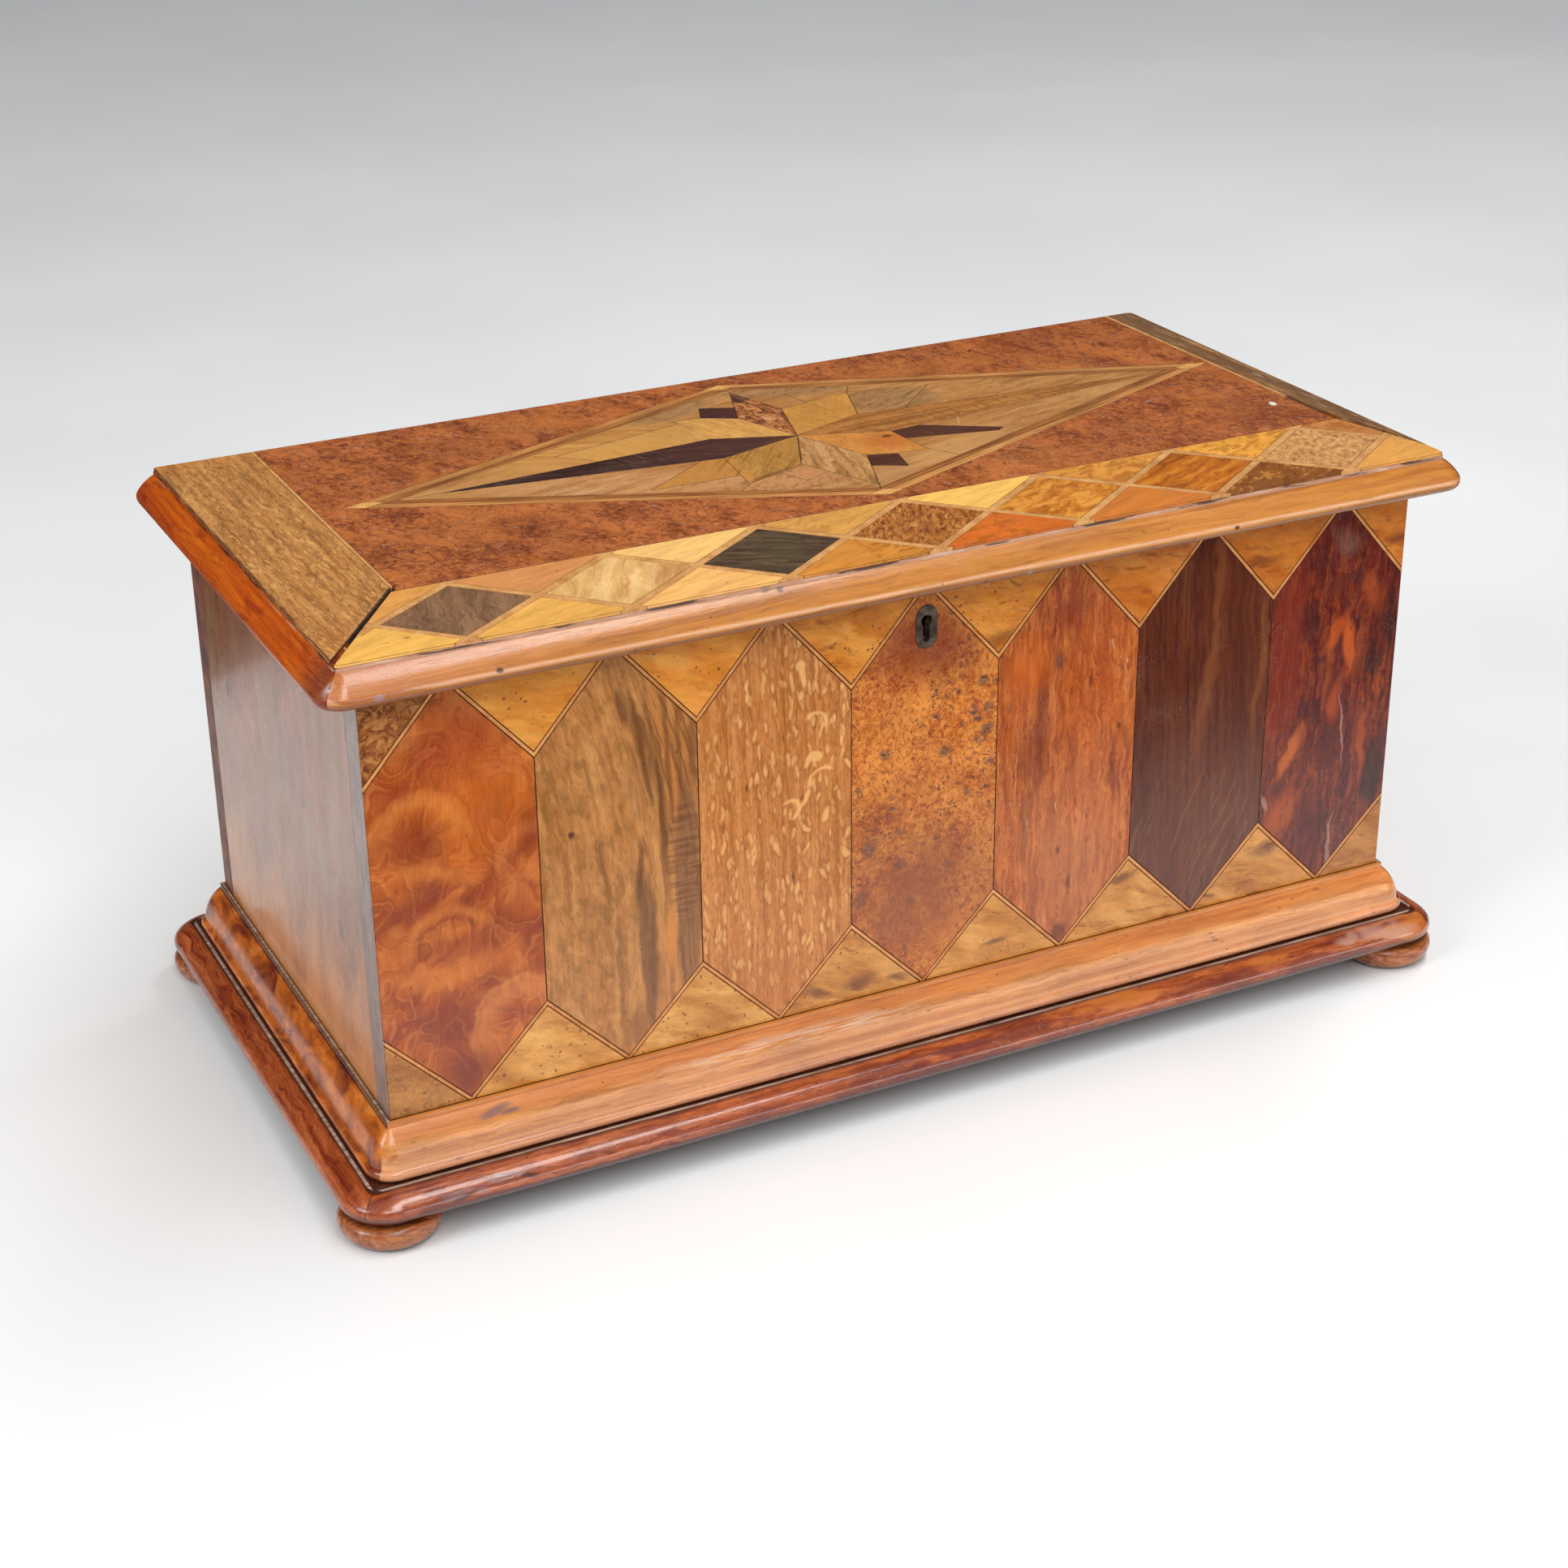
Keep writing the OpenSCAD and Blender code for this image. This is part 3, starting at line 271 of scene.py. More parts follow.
def crotch_mahogany():
    s = Finish("crotch_mahogany")
    w = s.warp(2.0, 13, 2)
    w2 = s.warp(7, 36, 1, w)
    fig = s.noise(s.along(-20, 22, 30, w2, (3, 7, 0)), 2, 0.42, 0.5)
    col = s.ramp(fig, [(0.34, (150, 74, 44)), (0.46, (174, 92, 50)), (0.57, (190, 106, 56)), (0.7, (206, 126, 70))])
    dark, light, hot = (136, 64, 44), (208, 128, 68), (222, 146, 86)
    # overlapping folds, each light at its front and soft behind
    for ang, across, length, k, shift, a, b in ((-16, 20, 30, 3.2, (5, 2, 0), 1.1, 0.9), (30, 15, 24, 2.6, (1, 8, 0), 1.06, 0.94)):
        f = s.math("FRACT", s.math("MULTIPLY", s.noise(s.along(ang, across, length, w2, shift), 1, 0.4, 0.5), k))
        col = s.shade(col, f, 0, 1, a, b)
        crest = s.both(s.step(f, 0.2, 0.04), s.step(f, 0.0, 0.03), s.step(s.noise(s.along(0, 18, 18, None, (shift[1], 3, 1)), 1), 0.44, 0.6))
        col = s.over(col, hot, crest, 0.22)
    flow = s.math("FRACT", s.math("MULTIPLY", s.noise(s.along(-12, 15, 22, w2, (4, 4, 0)), 1, 0.4, 0.6), 7))
    col = s.over(col, (134, 62, 38), s.both(s.step(flow, 0.22, 0.06), s.step(flow, 0.0, 0.04)), 0.38)
    col = s.over(col, (214, 132, 74), s.both(s.step(flow, 0.5, 0.3), s.step(flow, 0.16, 0.28)), 0.32)
    col = s.over(col, (146, 62, 38), s.blob((-168, 168), (17, 11), 20, 0.9, w), 0.6)
    col = s.over(col, (196, 104, 48), s.blob((-160, 148), (18, 16), 12, 0.9, w), 0.5)
    col = s.over(col, light, s.arc((-183, 134), (15, 17), 5.6, -4, 0.25, w), 0.6)
    col = s.over(col, (156, 76, 46), s.arc((-183, 134), (19.5, 21.5), 1.6, -4, 0.2, w), 0.35)
    col = s.over(col, dark, s.blob((-184, 137), (10, 8), -12, 0.6, w), 0.65)
    col = s.over(col, light, s.blob((-180, 124), (13, 3.2), -10, 0.6, w), 0.5)
    col = s.over(col, dark, s.blob((-186, 115), (11, 5), 24, 0.6, w), 0.55)
    col = s.over(col, dark, s.blob((-168, 112), (13, 3.4), 28, 0.7, w), 0.45)
    col = s.over(col, light, s.arc((-176, 98), (14, 12.5), 3.4, 16, 0.0, w), 0.45)
    col = s.over(col, dark, s.arc((-176, 98), (10.4, 9), 1.6, 16, 0.0, w), 0.35)
    col = s.over(col, dark, s.blob((-176, 97), (6.5, 5), 10, 0.6, w), 0.4)
    col = s.over(col, light, s.arc((-140, 120), (13, 16), 3.2, 60, 0.0, w), 0.4)
    col = s.over(col, dark, s.arc((-140, 120), (9, 11), 1.8, 60, 0.0, w), 0.35)
    col = s.over(col, (128, 60, 42), s.blob((-144, 132), (4, 9), 0, 0.7, w), 0.4)
    col = s.over(col, dark, s.blob((-152, 106), (5, 11), -24, 0.8, w), 0.45)
    col = s.over(col, (210, 124, 62), s.blob((-181, 87), (12, 4.4), -12, 0.6, w), 0.6)
    col = s.over(col, (204, 118, 60), s.blob((-163, 89), (8, 3.4), 14, 0.7, w), 0.5)
    col = s.over(col, dark, s.blob((-172, 70), (14, 8), 24, 0.7, w), 0.6)
    col = s.over(col, (212, 132, 78), s.arc((-150, 60), (15, 17), 6, 26, 0.1, w), 0.55)
    col = s.over(col, hot, s.arc((-150, 60), (18.4, 20.6), 1.4, 26, 0.1, w), 0.3)
    col = s.over(col, (118, 56, 44), s.blob((-172, 48), (9, 12), 0, 0.8, w), 0.65)
    fib = s.grain(-6, 0.5, 11, 2)
    mott = s.noise(s.along(-14, 2.6, 8, w, (2, 6, 0)), 3, 0.6, 0.4)
    col = s.shade(col, mott, 0.35, 0.65, 0.93, 1.06)
    s.relief = fib
    col = s.shade(col, fib, 0.35, 0.65, 0.93, 1.06)
    col = s.over(col, (86, 40, 28), s.both(s.specks(2.6, 0.09, w, 2.4, -10, 0.06), s.step(s.noise(s.along(0, 12, 12, None, (8, 8, 0)), 1), 0.46, 0.58)), 0.4)
    col = painted_shade_under_lid(s, s.age(col, 0.3, 0.2, 0.05))
    return s.done(col, 0.04, 0.25)


def figured_walnut():
    s = Finish("figured_walnut")
    w = s.warp(0.7, 10, 2)
    _, v, _ = s.split(w)
    # the lines lean over towards the left at the top
    rise = s.math("MULTIPLY", s.math("MAXIMUM", s.math("SUBTRACT", v, 100), 0), 0.0125)
    q = s.vec("SUBTRACT", w, s.join(s.math("MULTIPLY", s.math("MULTIPLY", rise, rise), -14), 0, 0))
    col = s.timber(0, (160, 104, 62), (184, 124, 74), (202, 144, 88), (1.7, 90), (0.45, 16), (0.5, 6), q, 0.3, 0.8, 0.25)
    cloud = s.noise(s.along(24, 9, 22, w, (9, 2, 0)), 3, 0.6, 0.8)
    col = s.shade(col, cloud, 0.35, 0.65, 0.9, 1.08)
    left = s.step(s.x, -104, -118)
    arch = s.math("ABSOLUTE", s.math("SUBTRACT", s.math("FRACT", s.math("MULTIPLY", s.vec("LENGTH", s.along(-6, 1, 2.1, s.warp(1.6, 9, 2), (-124, 122, 0))), 0.16)), 0.5))
    col = s.over(col, (150, 98, 54), s.both(s.step(arch, 0.2, 0.0), left, s.step(s.grain(10, 7, 18, 2), 0.4, 0.6)), 0.5)
    col = s.over(col, (214, 156, 96), s.both(s.step(arch, 0.4, 0.5), left, s.step(s.grain(14, 6, 12, 2), 0.46, 0.6)), 0.4)
    mott = s.noise(s.along(18, 4.0, 8.0, w, (2, 7, 0)), 4, 0.62, 0.5)
    col = s.over(col, (130, 96, 54), s.both(s.step(mott, 0.52, 0.64), s.step(s.x, -100, -116)), 0.5)
    col = s.over(col, (214, 156, 92), s.both(s.step(mott, 0.45, 0.36), s.step(s.x, -100, -116)), 0.35)
    slant = s.grain(24, 1.8, 22, 3, 0.6, 0.4, q=w)
    col = s.over(col, (146, 98, 58), s.both(s.step(slant, 0.55, 0.7), left), 0.4)
    band = s.blob((-90.5, 97), (4.6, 44), 0, 0.16, w)
    ripple = s.grain(90, 1.4, 14, 1, dist=0.3)
    col = s.over(col, (134, 94, 68), band, 0.7)
    col = s.over(col, (96, 64, 48), s.both(s.blob((-91.5, 109), (6.5, 23), 0, 0.3), s.step(ripple, 0.44, 0.62)), 0.5)
    col = s.over(col, (116, 80, 60), s.blob((-105.8, 80), (3.1, 30), 2, 0.25, w), 0.7)
    col = s.over(col, (96, 64, 48), s.blob((-107.8, 108), (1.4, 12), -4, 0.5, w), 0.6)
    col = s.over(col, (92, 58, 40), s.blob((-112, 168), (1.4, 6), 12, 0.5, w), 0.6)
    col = s.over(col, (98, 66, 50), s.any(s.blob((-105.5, 160), (1.7, 11), 17, 0.5, w), s.blob((-101.2, 142), (1.7, 13), 9, 0.5, w), s.blob((-98.6, 122), (1.8, 14), 3, 0.5, w)), 0.6)
    col = s.over(col, (200, 128, 72), s.any(s.blob((-99, 158), (1.2, 12), 10, 0.5, w), s.blob((-95, 142), (1.0, 14), 4, 0.5, w)), 0.5)
    streaks = s.both(s.step(s.grain(2, 1.7, 60, 2, dist=0.2, q=q), 0.5, 0.62), s.step(s.x, -114, -104))
    col = s.over(col, (118, 80, 56), streaks, 0.6)
    for x, z, a, l, k in ((-105.5, 152, 9, 22, 0.6), (-101, 146, 6, 26, 0.55), (-96.5, 148, 3, 24, 0.6), (-92.5, 150, 2, 16, 0.5), (-108, 160, 14, 16, 0.5), (-99, 128, 2, 30, 0.4)):
        col = s.over(col, (112, 74, 50), s.blob((x, z), (1.0, l), a, 0.5, w), k)
    col = s.over(col, (116, 80, 58), s.blob((-87.4, 150), (1.6, 13), 0, 0.4, w), 0.6)
    col = s.over(col, (214, 138, 72), s.blob((-97.2, 80), (1.9, 11), 0, 0.5, w), 0.75)
    col = s.over(col, (208, 150, 90), s.blob((-101, 112), (1.2, 34), 1, 0.5, w), 0.45)
    col = s.over(col, (112, 74, 48), s.blob((-121, 112), (1.1, 13), 9, 0.6, w), 0.5)
    col = s.over(col, (116, 76, 50), s.blob((-116, 70), (1.0, 22), 1, 0.6, w), 0.5)
    col = s.over(col, (60, 40, 28), s.blob((-131.5, 127.5), (1.2, 1.1), 0, 0.5), 0.8)
    col = s.over(col, (126, 86, 60), s.blob((-110, 50), (4, 8), 0, 0.6, w), 0.4)
    col = painted_shade_under_lid(s, s.age(col, 0.35, 0.12, 0.04))
    return s.done(col, 0.05, 0.27)


def quartered_oak():
    s = Finish("quartered_oak")
    w = s.warp(0.5, 7, 2)
    col = s.timber(1.5, (170, 104, 56), (196, 126, 72), (214, 146, 88), (1.4, 60), (0.45, 9), (0.5, 4), w, 0.3, 1.0, 0.4)
    # short upright flecks all over, bigger curled ones towards the right
    wide = s.step(s.noise(s.along(0, 9, 16, None, (2, 5, 1)), 1), 0.36, 0.52)
    calm = s.warp(0.45, 6, 1)
    curly = s.warp(1.3, 8, 1)
    right = s.both(s.step(s.x, -62, -48), s.step(s.z, 70, 96))
    for ang, across, length, share, q, where, k in ((4, 2.5, 10.5, 0.29, calm, wide, 0.55), (-8, 3.0, 9.0, 0.27, calm, wide, 0.55), (12, 3.6, 12.0, 0.22, calm, None, 0.45),
                                                    (-22, 5.2, 12.0, 0.21, curly, right, 0.75), (30, 5.8, 12.5, 0.19, curly, right, 0.7)):
        s.seed += 1
        d = s.cells(s.along(ang, across, length, q, (7.3 * s.seed, 3.1 * s.seed, 0)))
        halo = s.math("SUBTRACT", s.step(d, share + 0.2, share + 0.08), s.step(d, share + 0.06, share - 0.02), clamp=True)
        core = s.step(d, share + 0.05, share - 0.09)
        col = s.over(col, (150, 92, 54), s.both(halo, where) if where else halo, 0.25)
        col = s.over(col, (240, 180, 114), s.both(core, where) if where else core, k)
    w1 = s.warp(0.5, 4, 1)
    big = s.any(s.blob((-42.5, 136.5), (3.0, 1.8), 0, 0.3, w1), s.arc((-42, 148.5), (3.9, 3.6), 1.1, -30, 0.0, w1), s.arc((-40, 128), (4.6, 3.4), 1.0, 30, 0.0, w1),
                s.arc((-53, 118), (3.4, 4.6), 1.0, -60, 0.0, w1), s.blob((-46.8, 167), (1.0, 5), 8, 0.4, w1), s.blob((-47.6, 170.5), (1.5, 1.7), 0, 0.4, w1))
    col = s.over(col, (242, 184, 116), big, 0.75)
    col = s.over(col, (96, 60, 40), s.any(s.blob((-51, 92), (0.5, 2.6), 4, 0.4), s.blob((-68, 130), (0.5, 1.4), 0, 0.4)), 0.7)
    col = s.over(col, (184, 106, 62), s.blob((-60, 50), (14, 12), 0, 0.7), 0.35)
    dark = s.both(s.specks(2.4, 0.1, w, 3.4, 2, 0.06), s.step(s.noise(s.along(0, 10, 20, None, (6, 1, 0)), 1), 0.44, 0.56))
    col = s.over(col, (128, 80, 48), dark, 0.5)
    col = painted_shade_under_lid(s, s.age(col, 0.25, 0.12, 0.05))
    return s.done(col, 0.05, 0.27)


def burr(name, plane, dark, mid, light, eye, haze, size=1.0, eyes=0.6, stretch=1.0, ang=0):
    """Burr wood: curly mottling full of small dark eyes. Returns the shader and its colour, still open."""
    s = Finish(name, plane, haze)
    w = s.warp(1.4 * size, 5 * size, 2)
    n = s.noise(s.along(ang, 4.2 * size, 4.2 * size * stretch, w, (4, 1, 0)), 5, 0.68, 0.7)
    big = s.noise(s.along(ang, 21 * size, 21 * size * stretch, w, (8, 3, 0)), 2, 0.5, 0.4)
    v = s.math("ADD", s.math("MULTIPLY", n, 0.62), s.math("MULTIPLY", big, 0.38))
    col = s.ramp(v, [(0.36, dark), (0.46, mid), (0.53, light), (0.64, tuple(min(255, int(c * 1.1)) for c in light))])
    where = s.step(s.noise(s.along(0, 15 * size, 15 * size, None, (6, 6, 0)), 2), 0.5, 0.6)
    d = s.cells(s.along(0, 2.5 * size, 2.5 * size, w, (5, 9, 0)))
    ring = s.math("SUBTRACT", s.step(d, 0.42, 0.3), s.step(d, 0.24, 0.1), clamp=True)
    col = s.over(col, tuple(min(255, int(c * 1.14)) for c in light), s.both(ring, where), 0.35)
    col = s.over(col, eye, s.both(s.step(d, 0.26, 0.12), where), eyes)
    fine = s.grain(ang, 0.8, 1.4, 3, 0.6, q=w)
    col = s.shade(col, fine, 0.3, 0.7, 0.82, 1.14)
    s.relief = s.math("SUBTRACT", n, s.math("MULTIPLY", s.both(s.step(d, 0.26, 0.12), where), 0.6))
    return s, col


def front_burr():
    s, col = burr("front_burr", "xz", (150, 78, 40), (192, 108, 54), (214, 136, 68), (104, 66, 50), 0.028, 0.6, 0.5)
    w = s.warp(1.2, 3, 2)
    tone = s.noise(s.along(0, 16, 16, w, (3, 8, 0)), 2)
    col = s.shade(col, tone, 0.35, 0.65, 0.9, 1.08)
    spots = [(-16, 131, 2), (-22, 96, 3.0), (-25, 77, 3.0), (-10, 88, 2.4), (-9, 100, 1.6), (5, 141, 1.8), (25, 141, 2.2), (8, 127, 2.4),
             (22, 151, 1.8), (13, 149, 1.6), (17, 110, 1.6), (10, 83, 2.2), (-5, 72, 2), (-26, 119, 1.3), (4, 150, 1.4), (-1, 60, 1.6),
             (24, 132, 2.0), (18, 88, 1.5), (-13, 110, 1.2), (16, 65, 1.4), (19, 140, 1.4), (26, 120, 1.6), (-24, 60, 1.6)]
    m = s.any(*[s.blob((x, z), (r, r * 0.8), 30 * i, 0.6, w) for i, (x, z, r) in enumerate(spots)])
    inner = s.noise(s.along(0, 1.1, 1.1, None, (3, 3, 3)), 2)
    thick = s.step(s.noise(s.along(0, 9, 9, None, (8, 2, 0)), 2), 0.4, 0.56)
    pins = s.both(s.specks(1.9, 0.16, w, 1.2, 20, 0.12), thick)
    col = s.over(col, (104, 60, 42), pins, 0.75)
    dots = s.both(s.specks(3.1, 0.13, w, 1.1, -30, 0.08), thick)
    col = s.over(col, (78, 56, 52), dots, 0.75)
    small = s.noise(s.along(20, 1.2, 1.9, w, (7, 4, 0)), 3, 0.66, 0.5)
    col = s.over(col, (142, 76, 44), s.step(small, 0.47, 0.38), 0.6)
    col = s.over(col, (234, 152, 82), s.step(small, 0.53, 0.63), 0.4)
    bits = s.both(s.specks(2.3, 0.2, w, 1.4, 20, 0.1), s.step(s.noise(s.along(0, 8, 8, None, (4, 7, 0)), 2), 0.4, 0.54), s.step(s.z, 134, 112))
    col = s.over(col, (88, 58, 54), bits, 0.75)
    heart = s.both(s.blob((-12, 84), (16, 30), 0, 0.8, w), s.step(s.noise(s.along(0, 7, 9, w, (1, 7, 0)), 3, 0.6), 0.42, 0.58))
    col = s.over(col, (138, 74, 56), heart, 0.5)
    grey = s.both(s.specks(3.4, 0.22, w, 1.2, 20, 0.12), s.any(heart, s.both(thick, s.step(s.z, 104, 124), s.step(s.x, 2, 12))))
    col = s.over(col, (90, 74, 80), grey, 0.7)
    col = s.over(col, (104, 72, 62), m, 0.55)
    col = s.over(col, (120, 106, 106), s.both(m, s.step(inner, 0.5, 0.62)), 0.7)
    col = s.over(col, (52, 38, 36), s.both(m, s.step(inner, 0.47, 0.36)), 0.75)
    col = s.over(col, (126, 58, 42), s.blob((0, 168), (20, 13), 0, 0.7, w), 0.75)
    col = s.over(col, (150, 80, 52), s.blob((12, 84), (12, 9), 20, 0.8, w), 0.35)
    col = s.over(col, (150, 80, 56), s.blob((-6, 72), (20, 16), 0, 0.9, w), 0.5)
    col = s.over(col, (198, 118, 64), s.blob((8, 56), (14, 8), 0, 0.9, w), 0.4)
    col = s.over(col, (144, 88, 66), s.blob((0, 78), (30, 28), 0, 0.9, w), 0.4)
    s.relief = s.math("SUBTRACT", s.relief, s.math("MULTIPLY", s.any(dots, pins), 0.5))
    col = painted_shade_under_lid(s, s.age(col, 0.2, 0.15, 0.04))
    return s.done(col, 0.08, 0.29)


def padauk():
    s = Finish("padauk")
    w = s.warp(1.1, 9, 3)
    col = s.timber(0, (148, 74, 42), (182, 98, 54), (204, 124, 70), (1.8, 30), (0.45, 13), (0.6, 9), w, 0.5, 1.0, 0.35)
    mott = s.noise(s.along(0, 3.2, 9, w, (4, 2, 0)), 4, 0.62, 0.8)
    col = s.shade(col, mott, 0.35, 0.65, 0.84, 1.12)
    flame = s.noise(s.along(0, 7, 20, w, (1, 9, 0)), 3, 0.55, 0.9)
    col = s.over(col, (132, 64, 44), s.step(flame, 0.54, 0.68), 0.45)
    streak = s.grain(0, 1.3, 18, 2, dist=0.2, q=w)
    col = s.over(col, (210, 134, 82), s.step(streak, 0.56, 0.7), 0.4)
    col = s.over(col, (208, 106, 42), s.blob((41, 151), (8, 10), -20, 0.7, w), 0.6)
    col = s.over(col, (196, 100, 44), s.blob((68, 140), (10, 24), 0, 0.8, w), 0.4)
    # wavy figure at the upper right
    wave = s.math("ABSOLUTE", s.math("SUBTRACT", s.math("FRACT", s.math("MULTIPLY", s.noise(s.along(8, 6, 16, w, (2, 2, 0)), 2, 0.5, 0.8), 7)), 0.5))
    col = s.over(col, (136, 62, 34), s.both(s.step(wave, 0.16, 0.03), s.blob((68, 140), (14, 30), 0, 0.6)), 0.5)
    col = s.over(col, (118, 60, 44), s.blob((47, 131), (2.6, 18), 3, 0.6, w), 0.55)
    col = s.over(col, (122, 64, 50), s.blob((44, 119), (5.6, 11), 0, 0.6, w), 0.55)
    col = s.over(col, (128, 58, 38), s.blob((57, 170), (8, 8), 0, 0.7, w), 0.6)
    col = s.over(col, (112, 54, 42), s.blob((77, 106), (1.2, 11), 2, 0.6, w), 0.65)
    col = s.over(col, (112, 66, 54), s.blob((41, 90), (1.3, 15), 0, 0.6, w), 0.5)
    # painted reflection of the pale floor: a pinkish patch in the lower middle
    col = s.over(col, (192, 124, 88), s.blob((62, 70), (18, 34), 0, 0.8, w), 0.4)
    col = s.over(col, (94, 52, 46), s.blob((57, 44), (3.4, 4), 0, 0.5, w), 0.7)
    col = s.over(col, (112, 84, 78), s.blob((53, 152), (1.8, 3), 0, 0.5, w), 0.5)
    col = s.over(col, (84, 44, 34), s.any(s.blob((66.5, 142), (0.9, 2.4)), s.blob((79, 122), (0.8, 1.2)), s.blob((55, 78), (0.8, 1.6)), s.blob((60, 64), (0.9, 3))), 0.6)
    vein = s.both(s.specks(2.6, 0.12, w, 4, 0, 0.1), s.step(s.grain(0, 9, 30, 1), 0.46, 0.58))
    col = s.over(col, (104, 50, 34), vein, 0.5)
    scrape = s.both(s.specks(3.4, 0.07, w, 8, 2, 0.06), s.step(s.grain(0, 12, 40, 1), 0.48, 0.6))
    col = s.over(col, (216, 172, 142), scrape, 0.5)
    col = painted_shade_under_lid(s, s.age(col, 0.3, 0.3, 0.05))
    return s.done(col, 0.07, 0.27)


def rosewood():
    s = Finish("rosewood")
    w = s.warp(1.2, 22, 2)
    col = s.timber(3, (84, 48, 38), (104, 62, 46), (120, 72, 54), (2.4, 90), (0.45, 12), (0.45, 5), w, 0.4, 0.8, 0.35)
    # painted reflection of the pale floor: the lower part is lighter, and the pale slanted streaks lie there too
    f = s.step(s.z, 128, 60)
    col = s.over(col, (112, 72, 58), f, 0.3)
    ring = s.vec("LENGTH", s.along(0, 1, 2.4, w, (78, 168, 0)))
    bow = s.math("SINE", s.math("MULTIPLY", ring, 0.62))
    col = s.over(col, (150, 94, 62), s.both(s.step(bow, 0.8, 1.0), s.step(s.z, 96, 124)), 0.4)
    slant = s.grain(-24, 1.4, 50, 2, dist=0.2, q=w)
    col = s.over(col, (150, 108, 84), s.both(s.step(slant, 0.54, 0.7), f), 0.35)
    col = s.over(col, (70, 42, 34), s.both(s.step(s.grain(2, 1.1, 60, 2, q=w), 0.56, 0.7)), 0.4)
    col = painted_shade_under_lid(s, s.age(col, 0.1, 0.25, 0.04))
    return s.done(col, 0.035, 0.24, 0.3)


def kingwood():
    s = Finish("kingwood")
    w = s.warp(1.5, 10, 3)
    col = s.timber(-3, (80, 38, 28), (114, 56, 36), (148, 78, 46), (2.4, 34), (0.5, 11), (0.6, 8), w, 0.7, 1.0, 0.45)
    mott = s.noise(s.along(0, 6, 11, w, (4, 4, 0)), 4, 0.6, 0.8)
    col = s.shade(col, mott, 0.35, 0.65, 0.72, 1.2)
    hot = (200, 96, 44)
    col = s.over(col, (144, 64, 36), s.blob((150, 138), (9, 36), 0, 0.5, w), 0.5)
    col = s.over(col, hot, s.blob((178, 133), (2.8, 11), 8, 0.5, w), 0.8)
    col = s.over(col, hot, s.blob((172, 140), (2.2, 7), -24, 0.5, w), 0.6)
    col = s.over(col, (190, 88, 42), s.blob((174, 112), (2.6, 9), -8, 0.6, w), 0.55)
    col = s.over(col, (196, 104, 56), s.blob((155, 94), (2.4, 10), -26, 0.5, w), 0.8)
    col = s.over(col, (184, 88, 46), s.blob((187, 153), (4, 8), 24, 0.6, w), 0.5)
    col = s.over(col, (188, 96, 54), s.blob((152, 69), (5, 10), -20, 0.6, w), 0.55)
    col = s.over(col, (178, 88, 50), s.blob((188, 92), (2.0, 13), 6, 0.5, w), 0.6)
    black = (58, 36, 34)
    col = s.over(col, black, s.blob((194, 76), (4.2, 14), 0, 0.4, w), 0.75)
    col = s.over(col, black, s.blob((190, 126), (4, 8), 12, 0.6, w), 0.6)
    col = s.over(col, black, s.blob((197, 140), (2.4, 13), 0, 0.5, w), 0.6)
    col = s.over(col, (72, 40, 34), s.blob((160, 146), (4, 8), 0, 0.6, w), 0.6)
    col = s.over(col, (80, 42, 36), s.blob((172, 96), (3.6, 8), 0, 0.6, w), 0.55)
    col = s.over(col, (88, 46, 42), s.blob((165, 62), (6, 16), 0, 0.6, w), 0.55)
    col = s.over(col, (74, 38, 32), s.blob((181, 160), (2.2, 3.4), 0, 0.5, w), 0.7)
    col = s.over(col, (132, 98, 86), s.blob((174, 175), (6, 4), -40, 0.7, w), 0.5)
    pale = s.any(s.blob((176, 53), (0.9, 11), -4, 0.4, w), s.blob((145, 76), (1.0, 3.2), 20, 0.5), s.blob((178, 100), (0.4, 15), 3, 0.5, w), s.blob((177, 44), (1.2, 5), 8, 0.5, w))
    col = s.over(col, (186, 150, 134), pale, 0.5)
    vein = s.both(s.specks(2.2, 0.13, w, 4.5, -3, 0.1), s.step(s.grain(0, 10, 26, 1), 0.46, 0.58))
    col = s.over(col, (62, 32, 26), vein, 0.55)
    col = painted_shade_under_lid(s, s.age(col, 0.25, 0.3, 0.05))
    return s.done(col, 0.06, 0.26, 0.3)


